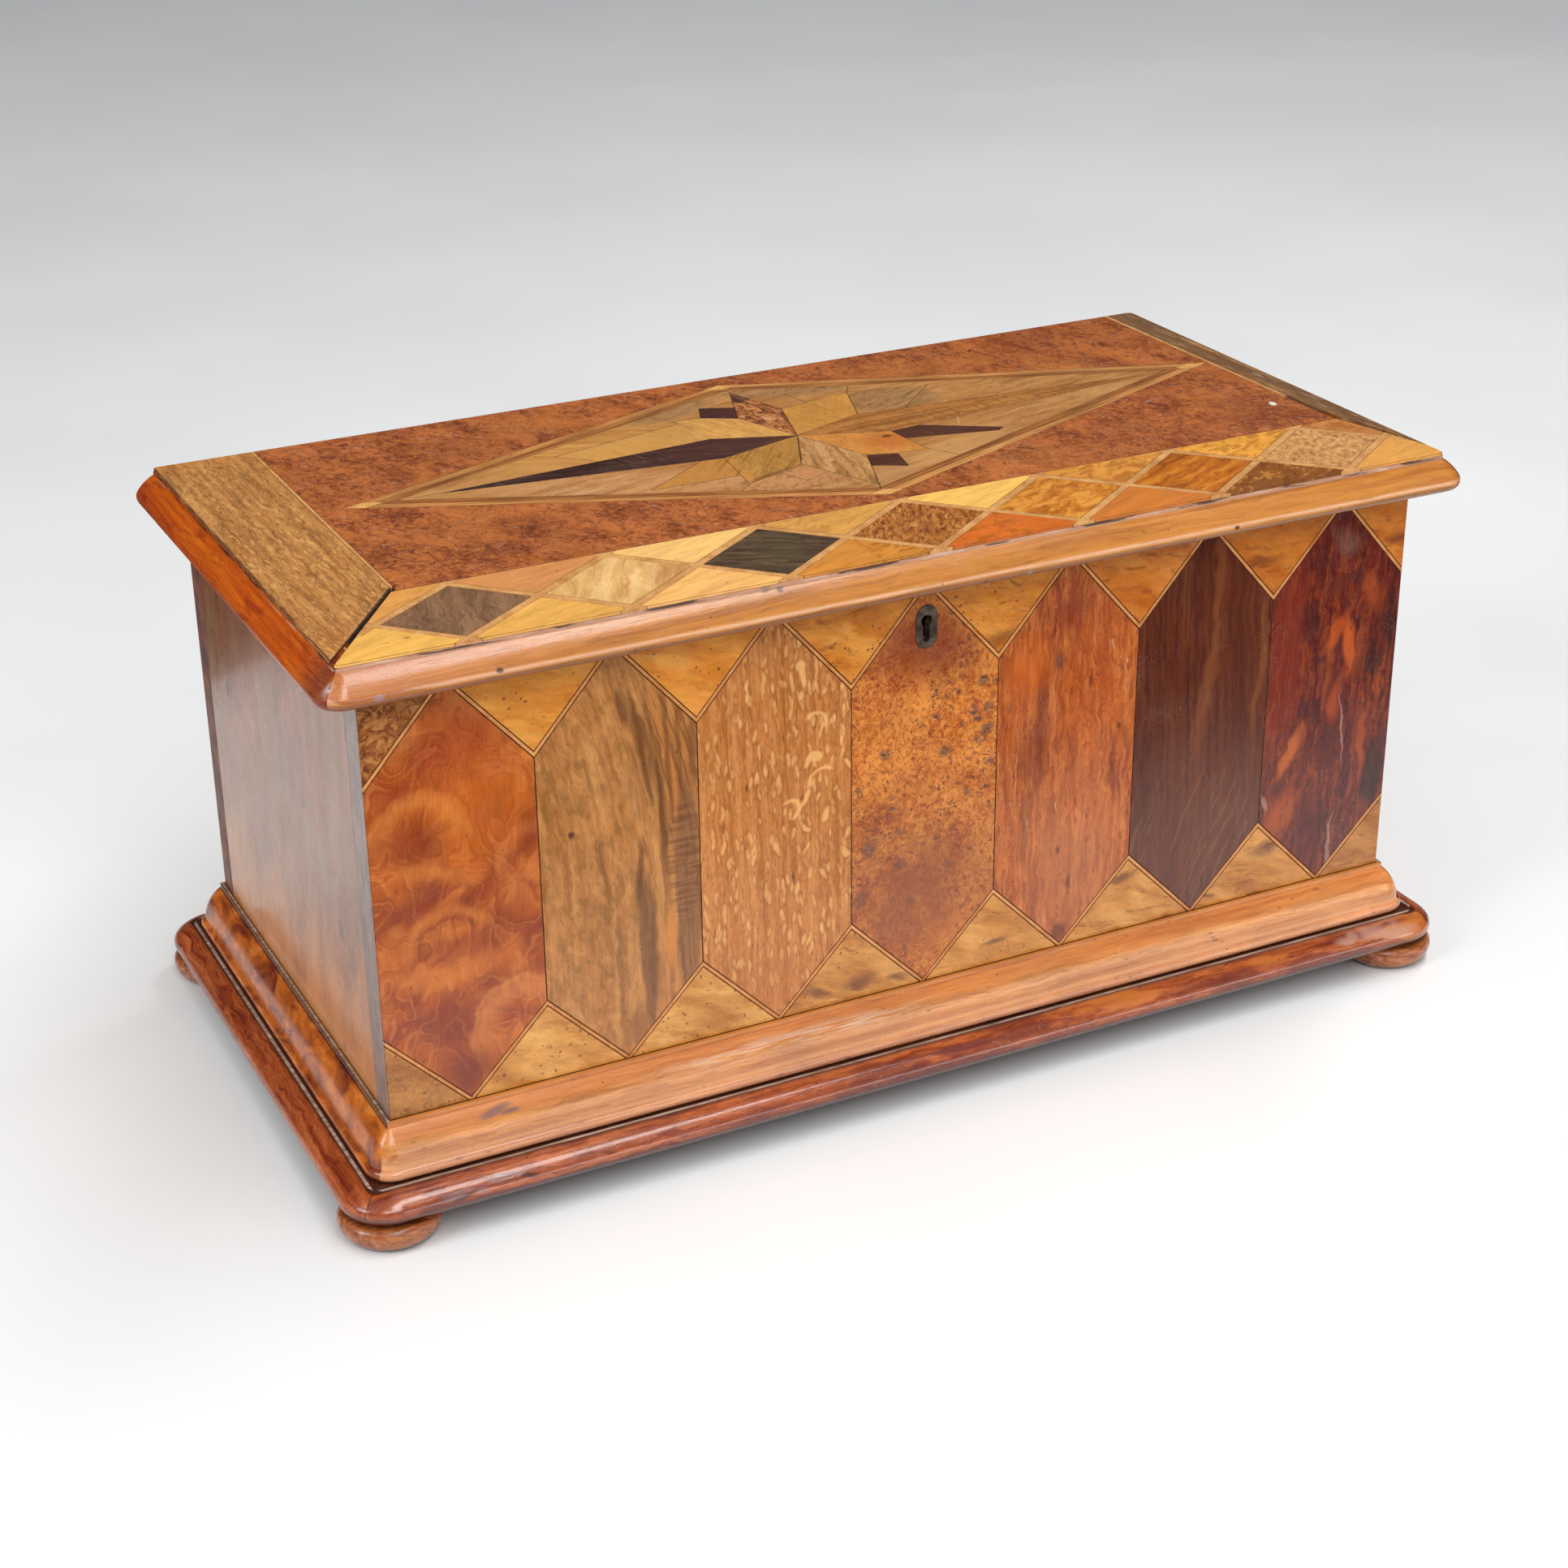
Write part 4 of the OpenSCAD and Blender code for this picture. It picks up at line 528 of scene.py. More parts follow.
def satinwood_triangles():
    s = Finish("satinwood_triangles")
    w = s.warp(1.2, 9, 2)
    idx = s.span(s.x, -228.57, 228.57, 0, 1)
    up = s.step(s.z, 112, 114)
    gr = s.noise(s.along(70, 8, 26, w, (3, 5, 0)), 3, 0.5, 0.4)
    fine = s.grain(80, 0.6, 6, 2, q=w)
    v = s.math("ADD", s.math("MULTIPLY", gr, 0.75), s.math("MULTIPLY", fine, 0.25))
    top = s.ramp(v, [(0.36, (196, 118, 46)), (0.5, (214, 140, 62)), (0.64, (226, 160, 80))])
    low = s.ramp(v, [(0.36, (180, 118, 58)), (0.5, (206, 146, 78)), (0.64, (224, 168, 98))])
    col = s.mix(up, low, top)
    fig = s.noise(s.along(72, 2.2, 7, w, (5, 2, 0)), 3, 0.6, 0.4)
    col = s.shade(col, fig, 0.35, 0.65, 0.9, 1.07)
    one = 1 / 8
    tones_up = s.ramp(idx, [(0, (0.62,) * 3), (one, (1.0, 0.96, 0.9)), (2 * one, (1.06, 1.0, 1.02)), (3 * one, (0.97, 0.9, 0.86)), (4 * one, (0.94, 0.84, 0.78)),
                            (5 * one, (0.88, 0.7, 0.6)), (6 * one, (0.84, 0.66, 0.42)), (7 * one, (0.9, 0.72, 0.56))], True, True)
    tones_low = s.ramp(idx, [(0, (0.72, 0.62, 0.6)), (one, (1.02, 1.0, 0.98)), (2 * one, (0.98, 0.95, 0.9)), (3 * one, (0.95, 0.88, 0.84)), (4 * one, (0.98, 0.9, 0.82)),
                             (5 * one, (0.98, 0.9, 0.84)), (6 * one, (0.94, 0.84, 0.74)), (7 * one, (0.74, 0.62, 0.54))], True, True)
    col = s.mix(1.0, col, s.mix(up, tones_low, tones_up), "MULTIPLY")
    # small dark pores at the left, dark smears along the grain at the right
    dots = s.any(s.specks(3.4, 0.12, w, 1.0, 0, 0.07), s.specks(2.3, 0.09, w, 1.5, 70, 0.05))
    where = s.step(s.noise(s.along(0, 13, 13, None, (4, 7, 0)), 1), 0.38, 0.55)
    dots = s.both(dots, where, s.step(s.x, 90, 10))
    col = s.over(col, (104, 62, 36), dots, 0.75)
    smear = s.step(s.noise(s.along(84, 2.4, 12, w, (1, 4, 2)), 3, 0.6, 0.5), 0.56, 0.68)
    region = s.any(s.both(s.step(s.x, -2, 18), up), s.both(s.step(s.x, 40, 70)), s.both(s.step(s.x, -62, -56), s.step(s.x, -20, -26)))
    col = s.over(col, (132, 76, 34), s.both(smear, region), 0.6)
    col = s.over(col, (92, 52, 34), s.any(s.blob((-42, 44.5), (4.5, 1.8), -12, 0.7, w), s.blob((-26, 45), (5, 2.0), 6, 0.8, w), s.blob((-10, 43), (4, 1.4), -5, 0.7, w)), 0.65)
    col = s.over(col, (84, 52, 36), s.any(s.blob((84, 60), (5.5, 1.6), 6, 0.7, w), s.blob((30, 47), (5, 1.0), 6, 0.6, w), s.blob((122, 43), (3.4, 0.9), -20, 0.6, w), s.blob((148, 57), (7, 2.6), 4, 0.9, w)), 0.65)
    col = s.over(col, (112, 66, 34), s.any(s.blob((30, 165), (7, 2.2), 4, 0.7, w), s.blob((80, 158), (8, 2.6), 4, 0.7, w), s.blob((137, 174), (8, 1.8), 0, 0.7, w), s.blob((143, 160), (9, 2.4), 3, 0.7, w), s.blob((196, 172), (5, 2.4), 0, 0.7, w)), 0.6)
    burr_part = s.both(s.step(s.x, -170, -174), up)
    curl = s.noise(s.along(0, 3.0, 3.0, s.warp(1.5, 4, 2), (2, 2, 0)), 4, 0.6, 1.0)
    col = s.mix(burr_part, col, s.ramp(curl, [(0.38, (118, 70, 42)), (0.5, (160, 100, 58)), (0.62, (192, 130, 78))]))
    low_left = s.both(s.step(s.x, -172, -176), s.math("SUBTRACT", 1.0, up))
    col = s.over(col, (104, 72, 50), s.both(s.step(curl, 0.52, 0.62), low_left), 0.45)
    s.relief = s.math("SUBTRACT", fine, dots)
    col = painted_shade_under_lid(s, s.age(col, 0.3, 0.1, 0.04))
    return s.done(col, 0.04, 0.27)


def boxwood(name, plane, a, b, haze=0.028, rough=0.32):
    s = Finish(name, plane, haze)
    f = s.noise(s.along(0, 9, 9, s.p), 3, 0.6)
    g = s.noise(s.along(0, 0.7, 0.7, s.p, (3, 1, 2)), 2)
    v = s.math("ADD", s.math("MULTIPLY", f, 0.6), s.math("MULTIPLY", g, 0.4))
    col = s.ramp(v, [(0.38, a), (0.6, b)])
    s.relief = g
    return s.done(col, 0.04, rough)


# ---------------------------------------------------------------- woods of the carcase and mouldings
def side_mahogany(name, front_strip=False):
    """Plain mahogany boards, smoky with old polish. The box's length is along the grain on the back, its height on the sides."""
    s = Finish(name, "yz", 0.0)
    w = s.warp(2.5, 30, 2)
    col = s.timber(6, (110, 62, 30), (134, 78, 38), (152, 94, 50), (9, 90), (0.6, 15), (0.5, 7), w, 0.6, 0.9, 0.4)
    cloud = s.noise(s.along(14, 22, 44, w, (6, 6, 0)), 3, 0.6, 0.4)
    col = s.over(col, (132, 104, 68), s.step(cloud, 0.5, 0.72), 0.55)
    col = s.over(col, (170, 96, 52), s.step(cloud, 0.46, 0.3), 0.4)
    # painted reflection of the orange ogee moulding: the boards turn orange towards the bottom
    foot = s.math("ADD", s.z, s.math("MULTIPLY", s.noise(s.along(6, 16, 60, w, (3, 3, 0)), 3, 0.6, 0.5), 90))
    col = s.over(col, (212, 138, 74), s.step(foot, 140, 82), 0.72)
    dent = s.both(s.specks(15, 0.11, None, 1.8, 12, 0.1), s.step(s.noise(s.along(0, 40, 40, None, (1, 2, 0)), 1), 0.45, 0.55))
    col = s.over(col, (38, 30, 28), dent, 0.55)
    nails = s.specks(11, 0.045, None, 1.5, 0, 0.03)
    edge = s.any(s.step(s.y, 84, 87), s.step(s.y, -77, -80))
    col = s.over(col, (24, 18, 16), s.both(nails, edge), 0.85)
    s.relief = s.math("SUBTRACT", s.math("MULTIPLY", s.relief, 0.7), s.math("MULTIPLY", dent, 1.2))
    col = s.age(col, 0.3, 0.2, 0.1)
    return s.done(col, 0.07, 0.25, 0.36, 0.11, 0.05)


def front_pine():
    """The front board: its end shows as a greyer strip down the left side."""
    s = Finish("front_board_wood", "xz", 0.0)
    col = s.timber(90, (74, 50, 38), (112, 78, 58), (140, 102, 78), (7, 60), (0.7, 15), (0.5, 6), None, 0.4, 0.9, 0.3)
    end = s.step(s.x, -199.5, -199.9)
    endg = s.noise(s.along(0, 1.2, 9, s.join(s.y, s.z, s.x), (2, 2, 0)), 3, 0.6)
    col = s.mix(end, col, s.ramp(endg, [(0.35, (96, 78, 72)), (0.55, (132, 106, 98)), (0.7, (156, 126, 112))]))
    marks = s.specks(7.5, 0.06, s.join(s.y, s.z, s.x), 1.6, 0, 0.05)
    col = s.over(col, (36, 28, 26), s.both(marks, end), 0.7)
    col = s.age(col, 0.3, 0.2, 0.08)
    return s.done(col, 0.07, 0.3, 0.25, 0.2)


def inner_wood(name, plane, ang, a=(96, 56, 34), b=(136, 84, 52), c=(164, 108, 70), painted_gap_shade=False):
    s = Finish(name, plane, 0.0)
    col = s.timber(ang, a, b, c, (8, 90), (0.6, 14), (0.5, 6), None, 0.5, 1.0, 0.4)
    if painted_gap_shade:
        # painted shade: the board's top face under the veneers is near black, so the gaps between them show dark
        col = s.over(col, (18, 13, 11), s.step(s.z, 204.2, 204.3))
    col = s.age(col, 0.4, 0.2, 0.12)
    return s.done(col, 0.08, 0.48, 0.0)


def runs(front):
    """Plane and turn of a moulding whose grain runs along x or along y."""
    return ("xz", 90) if front else ("yz", 90)


def lid_moulding(name, front, dark, mid, light, red=False):
    plane, ang = runs(front)
    s = Finish(name, plane, 0.02)
    w = s.warp(0.6, 24, 1)
    col = s.timber(ang + (1.5 if front else 0), dark, mid, light, (2.0, 110), (0.45, 24), (0.5, 9), w, 0.2, 0.8, 0.3)
    if red:
        # painted reflection: brown-grey towards the front corner
        near = s.step(s.y, -80, -102)
        col = s.over(col, (96, 62, 54), near, 0.65)
        blot = s.noise(s.along(90, 6, 26, w, (3, 1, 0)), 3, 0.6, 0.5)
        col = s.over(col, (118, 50, 26), s.step(blot, 0.52, 0.68), 0.5)
    else:
        right = s.step(s.x, -80, 120)
        col = s.over(col, (214, 144, 70), s.both(right, s.step(s.grain(90, 3, 60, 2, q=w), 0.42, 0.6)), 0.35)
        col = s.over(col, (170, 98, 66), s.step(s.x, -110, -215), 0.5)
        line = s.step(s.grain(90, 0.8, 90, 2, q=w), 0.56, 0.68)
        col = s.over(col, (160, 98, 52), line, 0.22)
        # painted shade on the underside of the nose
        col = s.over(col, (146, 88, 48), s.step(s.z, 194.2, 191.8), 0.6)
        blotch = s.both(s.step(s.noise(s.along(90, 2.2, 22, w, (7, 1, 0)), 3, 0.6), 0.55, 0.66), s.step(s.z, 196, 193))
        col = s.over(col, (140, 78, 40), blotch, 0.45)
        marks = s.any(s.blob((14.2, 191.8), (0.55, 3.0), 4, 0.35), s.blob((15.4, 190.4), (1.0, 0.8), 0, 0.4), s.blob((63.5, 190.6), (2.2, 1.3), 0, 0.4),
                      s.blob((-31, 192.6), (0.8, 0.6)), s.blob((114, 195.5), (1.0, 0.7)), s.blob((-180, 190.2), (3.4, 0.8), 0, 0.6), s.blob((-158, 196.6), (1.2, 0.8)),
                      s.blob((-64, 203.6), (1.6, 0.9), 0, 0.5), s.blob((-59, 202.8), (1.0, 0.7), 0, 0.5))
        # painted highlight: a pale line along the nose, with painted shade below it
        nose_highlight = s.both(s.step(s.z, 195.0, 195.7), s.step(s.z, 197.3, 196.4), s.step(s.grain(90, 3, 40, 2), 0.3, 0.5))
        col = s.over(col, (236, 186, 146), nose_highlight, 0.45)
        col = s.over(col, (104, 62, 40), s.step(s.z, 195.0, 194.4), 0.6)
        outside = s.step(s.y, -98, -103)
        marks = s.both(marks, outside)
        col = s.over(col, (44, 30, 28), marks, 0.85)
        col = s.over(col, (150, 140, 146), s.both(s.any(s.blob((62.5, 191.2), (1.4, 1.4), 0, 0.5), s.blob((31, 193.5), (0.9, 1.6)), s.blob((-197, 195.5), (1.6, 1.0))), outside), 0.6)
        s.relief = s.math("SUBTRACT", s.relief, s.math("MULTIPLY", marks, 2.0))
    # worn low nose, broken dark line and pale wear along the arris under the veneer, and a painted highlight on the
    # band below it
    dots = s.both(s.specks(6.5, 0.06, s.p, 1.0, 0, 0.04), s.step(s.z, 199, 193))
    col = s.over(col, (60, 36, 26), dots, 0.65)
    rim = s.step(s.z, 202.9, 203.3)
    worn = s.grain(90, 1.6, 22, 3, 0.6)
    if not red:
        # painted highlight: a pale pinkish band along the shoulder just under the arris
        col = s.over(col, (204, 168, 150), rim, 0.5)
    col = s.over(col, (56, 38, 30), s.both(s.step(s.z, 203.3, 203.7), s.step(worn, 0.5, 0.58)), 0.85)
    col = s.over(col, (214, 188, 170), s.both(rim, s.step(worn, 0.42, 0.34)), 0.6)
    # grey-white front-left corner: partly worn wood, partly painted highlight
    corner = s.both(s.step(s.x, -208.5, -211), s.step(s.y, -103.5, -106), s.step(s.z, 197, 200))
    col = s.over(col, (196, 186, 184), s.both(corner, s.step(s.noise(s.along(0, 2.6, 2.6, s.p, (1, 3, 5)), 2), 0.42, 0.56)), 0.75)
    col = s.age(col, 0.3, 0.2, 0.05)
    return s.done(col, 0.05, 0.27, 0.06 if red else 0.4, 0.09, spec=0.18 if red else 0.5)


def ogee_wood(name, front):
    plane, ang = runs(front)
    s = Finish(name, plane, 0.02)
    w = s.warp(0.8, 20, 1) if front else s.warp(1.0, 12, 2)
    d = s.math("MAXIMUM", s.math("SUBTRACT", s.math("ABSOLUTE", s.x), 200), s.math("SUBTRACT", s.math("ABSOLUTE", s.y), 95))
    ledge = s.step(s.z, 38.2, 38.45)
    if front:
        col = s.timber(ang, (168, 102, 54), (202, 132, 72), (222, 154, 90), (2.0, 90), (0.45, 22), (0.5, 9), w, 0.3, 0.9, 0.25)
        line = s.step(s.grain(90, 0.8, 80, 2, q=w), 0.55, 0.68)
        col = s.over(col, (160, 96, 50), line, 0.35)
        dash = s.both(s.specks(5.5, 0.08, w, 2.6, 90, 0.06), s.step(s.noise(s.along(90, 10, 55, None, (3, 5, 0)), 1), 0.46, 0.58))
        col = s.over(col, (92, 48, 28), dash, 0.6)
        flecks = s.both(s.specks(3.0, 0.12, w, 2.2, 90, 0.06), s.step(s.noise(s.along(90, 8, 40, None, (6, 2, 0)), 2), 0.5, 0.6))
        col = s.over(col, (108, 60, 34), flecks, 0.6)
        # painted highlight: a pale streak along the upper shoulder, left of middle
        streak = s.both(s.blob((-52, 33.2), (46, 1.7), 0, 0.6, w), s.step(s.grain(90, 0.8, 16, 3, 0.6), 0.44, 0.6), s.step(s.y, 0, -10))
        col = s.over(col, (240, 216, 192), streak, 0.55)
        stain = s.noise(s.along(90, 5, 34, w, (1, 8, 0)), 3, 0.6)
        col = s.shade(col, stain, 0.35, 0.65, 0.86, 1.08)
        col = s.over(col, (196, 112, 66), s.both(s.step(s.z, 31.5, 35), s.step(s.z, 38.3, 37.4)), 0.4)
        # painted reflection of the pale floor low down, paler towards the right
        col = s.over(col, (206, 156, 144), s.step(s.z, 31, 25), 0.3)
        col = s.shade(col, s.x, 50, 190, 1.0, 1.14)
        col = s.over(col, (92, 84, 96), s.both(s.any(s.blob((-165, 34.5), (5.5, 1.1), 6, 0.5, w), s.blob((-160, 33.4), (3.4, 0.7), 0, 0.5, w)), s.step(s.y, 0, -10)), 0.65)
        # painted highlight: a light line along the lower bead
        col = s.over(col, (234, 172, 108), s.both(s.step(s.z, 24.4, 25.2), s.step(s.z, 26.6, 25.8)), 0.45)
        col = s.over(col, (196, 124, 64), ledge, 0.7)
        col = s.over(col, (44, 28, 20), s.both(ledge, s.step(d, 0.6, 0.35)), 0.9)
    else:
        n = s.noise(s.along(90, 9, 17, w, (3, 1, 0)), 4, 0.58, 0.8)
        col = s.ramp(n, [(0.34, (112, 54, 30)), (0.45, (158, 84, 42)), (0.55, (190, 104, 48)), (0.68, (210, 128, 62))])
        blot = s.noise(s.along(90, 18, 26, w, (8, 3, 0)), 2, 0.5, 0.5)
        col = s.over(col, (96, 46, 28), s.step(blot, 0.57, 0.7), 0.55)
        streak = s.grain(90, 1.4, 18, 2, dist=0.4, q=w)
        col = s.over(col, (122, 56, 28), s.step(streak, 0.54, 0.68), 0.4)
        col = s.over(col, (62, 30, 22), s.both(s.specks(3.2, 0.1, w, 1.3, 20, 0.08), s.step(blot, 0.46, 0.56)), 0.55)
        s.relief = n
        # dust on the narrow step against the box, between two dark lines
        grime = s.noise(s.along(90, 1.4, 12, s.p, (1, 2, 3)), 2, 0.6)
        col = s.over(col, (48, 32, 24), s.both(s.step(s.z, 36.6, 37.2), s.step(d, 2.4, 2.1)), 0.85)
        col = s.mix(s.both(ledge, s.step(d, 0.25, 0.5), s.step(d, 1.6, 1.3)), col, s.ramp(grime, [(0.34, (128, 104, 86)), (0.55, (172, 148, 126)), (0.7, (192, 172, 150))]))
    # painted shade along the bottom of the ogee, above the ledge
    col = s.over(col, (66, 40, 28), s.step(s.z, 21.2, 20.8), 0.6)
    col = s.age(col, 0.3, 0.2, 0.06)
    return s.done(col, 0.05, 0.26, 0.4 if front else 0.3, 0.2 if front else 0.12)


def plinth_wood(name, front):
    plane, ang = runs(front)
    s = Finish(name, plane, 0.015)
    w = s.warp(1.2, 12, 2)
    col = s.timber(ang, (116, 50, 30), (158, 80, 46), (188, 106, 66), (2.6, 60), (0.5, 15), (0.6, 9), w, 0.5, 1.0, 0.35)
    blot = s.noise(s.along(90, 7, 30, w, (3, 1, 0)), 3, 0.6, 0.5)
    col = s.over(col, (96, 42, 28), s.step(blot, 0.54, 0.7), 0.55)
    if front:
        patch = s.noise(s.along(90, 9, 46, w, (5, 2, 0)), 2, 0.5, 0.3)
        col = s.over(col, (206, 126, 62), s.both(s.step(patch, 0.5, 0.6), s.step(s.x, -60, 20)), 0.6)
        col = s.over(col, (92, 36, 28), s.step(patch, 0.46, 0.36), 0.55)
    # painted shade: the lower part of the nose, turning under, is dark
    nose = s.step(s.z, 15.6, 12.6)
    col = s.over(col, (66, 28, 20), nose, 0.85)
    dash = s.both(s.specks(4.5, 0.1, w, 3.0, 90, 0.08), s.step(s.noise(s.along(90, 9, 60, None, (3, 5, 0)), 1), 0.42, 0.56))
    col = s.over(col, (66, 32, 24), dash, 0.55)
    if front:
        near = s.step(s.y, 0, -10)
        chip = s.both(near, s.any(s.blob((-186, 16.6), (5, 1.3), 3, 0.5, w), s.blob((-168, 17.4), (6, 0.9), 3, 0.5, w), s.blob((-177, 15.4), (3, 1.0), -8, 0.5, w)))
        col = s.over(col, (122, 108, 110), chip, 0.5)
        col = s.over(col, (50, 32, 30), s.both(near, s.any(s.blob((-184, 15.0), (5, 0.9), 6, 0.5, w), s.blob((-160, 16.4), (3, 0.7), -6, 0.5, w))), 0.7)
        bare = s.both(near, s.any(s.blob((193, 18.0), (12, 1.6), -2, 0.5, w), s.blob((176, 18.8), (5, 1.0), 0, 0.5, w)))
        col = s.over(col, (188, 150, 134), bare, 0.6)
        s.relief = s.math("SUBTRACT", s.relief, s.math("MULTIPLY", chip, 1.5))
    # the mitres show as fine dark lines
    mitre = s.math("ABSOLUTE", s.math("SUBTRACT", s.math("SUBTRACT", s.math("ABSOLUTE", s.x), 200), s.math("SUBTRACT", s.math("ABSOLUTE", s.y), 95)))
    col = s.over(col, (60, 34, 26), s.step(mitre, 0.5, 0.15), 0.7)
    # dust on the ledge between two dark lines
    grime = s.noise(s.along(90, 1.4, 14, s.p, (4, 2, 3)), 2, 0.6)
    ledge = s.step(s.z, 20.25, 20.45)
    d = s.math("MAXIMUM", s.math("SUBTRACT", s.math("ABSOLUTE", s.x), 200), s.math("SUBTRACT", s.math("ABSOLUTE", s.y), 95))
    col = s.over(col, (48, 30, 23), s.both(s.step(s.z, 19.7, 20.0), s.step(d, 13.0, 12.4)), 0.85)
    col = s.mix(s.both(ledge, s.step(d, 10.7, 11.0), s.step(d, 12.2, 11.9), 0.95), col, s.ramp(grime, [(0.34, (128, 106, 92)), (0.55, (176, 156, 142)), (0.7, (206, 190, 176))]))
    col = s.age(col, 0.4, 0.25, 0.06)
    return s.done(col, 0.07, 0.22, 0.7 if front else 0.3, 0.08)


def foot_wood():
    s = Finish("foot_wood", "xz", 0.015)
    w = s.warp(0.8, 8, 2)
    col = s.timber(80, (112, 58, 32), (170, 96, 54), (202, 130, 82), (2.2, 26), (0.5, 8), (0.5, 4), w, 0.5, 1.0, 0.4)
    turn = s.math("SINE", s.math("MULTIPLY", s.z, 7))
    col = s.shade(col, turn, -1, 1, 0.94, 1.04)
    # painted shade: darker at the bottom where the foot meets the floor, and at the top under the plinth
    col = s.over(col, (48, 26, 18), s.step(s.z, 1.6, 0.6), 0.8)
    col = s.over(col, (56, 28, 18), s.step(s.z, 9.2, 10.2), 0.7)
    col = s.vec("SCALE", s.age(col, 0.4, 0.25, 0.08), scale=0.86)
    return s.done(col, 0.05, 0.28, 0.3, 0.15)


# ---------------------------------------------------------------- woods of the lid
LID = 0.006


def lid_oak(name, grey=0.0):
    s = Finish(name, "xy", LID)
    w = s.warp(0.8, 6, 2)
    col = s.timber(0, (142, 92, 48), (180, 122, 66), (202, 148, 86), (2.4, 50), (0.5, 8), (0.55, 5), w, 0.4, 1.05, 0.5)
    a = s.cells(s.along(6, 1.9, 8.5, w, (1.3, 2.2, 0)))
    b = s.cells(s.along(-5, 1.2, 5, w, (5.3, 1.2, 0)))
    where = s.step(s.noise(s.along(0, 11, 24, None, (2, 5, 1)), 1), 0.38, 0.55)
    col = s.over(col, (222, 168, 96), s.both(s.step(a, 0.36, 0.22), where), 0.55)
    col = s.over(col, (214, 152, 78), s.step(b, 0.3, 0.16), 0.35)
    col = s.over(col, (110, 84, 56), s.step(s.grain(0, 1.2, 12, 2), 0.56, 0.7), 0.45)
    if grey:
        col = s.over(col, (108, 80, 60), s.step(s.grain(0, 3, 40, 3), 0.2, 0.5), grey)
        col = s.vec("SCALE", col, scale=0.84)
        col = s.over(col, (206, 176, 150), s.step(s.grain(0, 0.8, 16, 2), 0.6, 0.68), 0.5)
        col = s.over(col, (86, 62, 46), s.step(s.grain(0, 0.9, 26, 2), 0.6, 0.68), 0.55)
    else:
        col = s.over(col, (204, 128, 62), s.step(s.y, 92, 108), 0.35)
        col = s.over(col, (196, 118, 60), s.step(s.y, -58, -104), 0.25)
        # dirt beside the moulding, a little worn pale wood at the mitre
        col = s.over(col, (84, 54, 36), s.both(s.step(s.x, -206.9, -207.5), s.step(s.grain(0, 1, 12, 2), 0.36, 0.5)), 0.8)
        off = s.math("SUBTRACT", s.math("MULTIPLY", s.math("ADD", s.x, 205.2), 0.8066), s.math("MULTIPLY", s.math("ADD", s.y, 96.8), 0.5911))
        col = s.over(col, (206, 168, 126), s.both(s.step(off, -2.6, -1.7), s.step(s.grain(35, 1, 9, 2), 0.46, 0.6)), 0.5)
        col = s.over(col, (40, 26, 20), s.step(off, -1.5, -1.0), 0.85)
    col = s.age(col, 0.2, 0.15, 0.06)
    s.relief = s.math("MULTIPLY", s.relief, 1.6)
    return s.done(col, 0.09, 0.36, 0.15, 0.2)


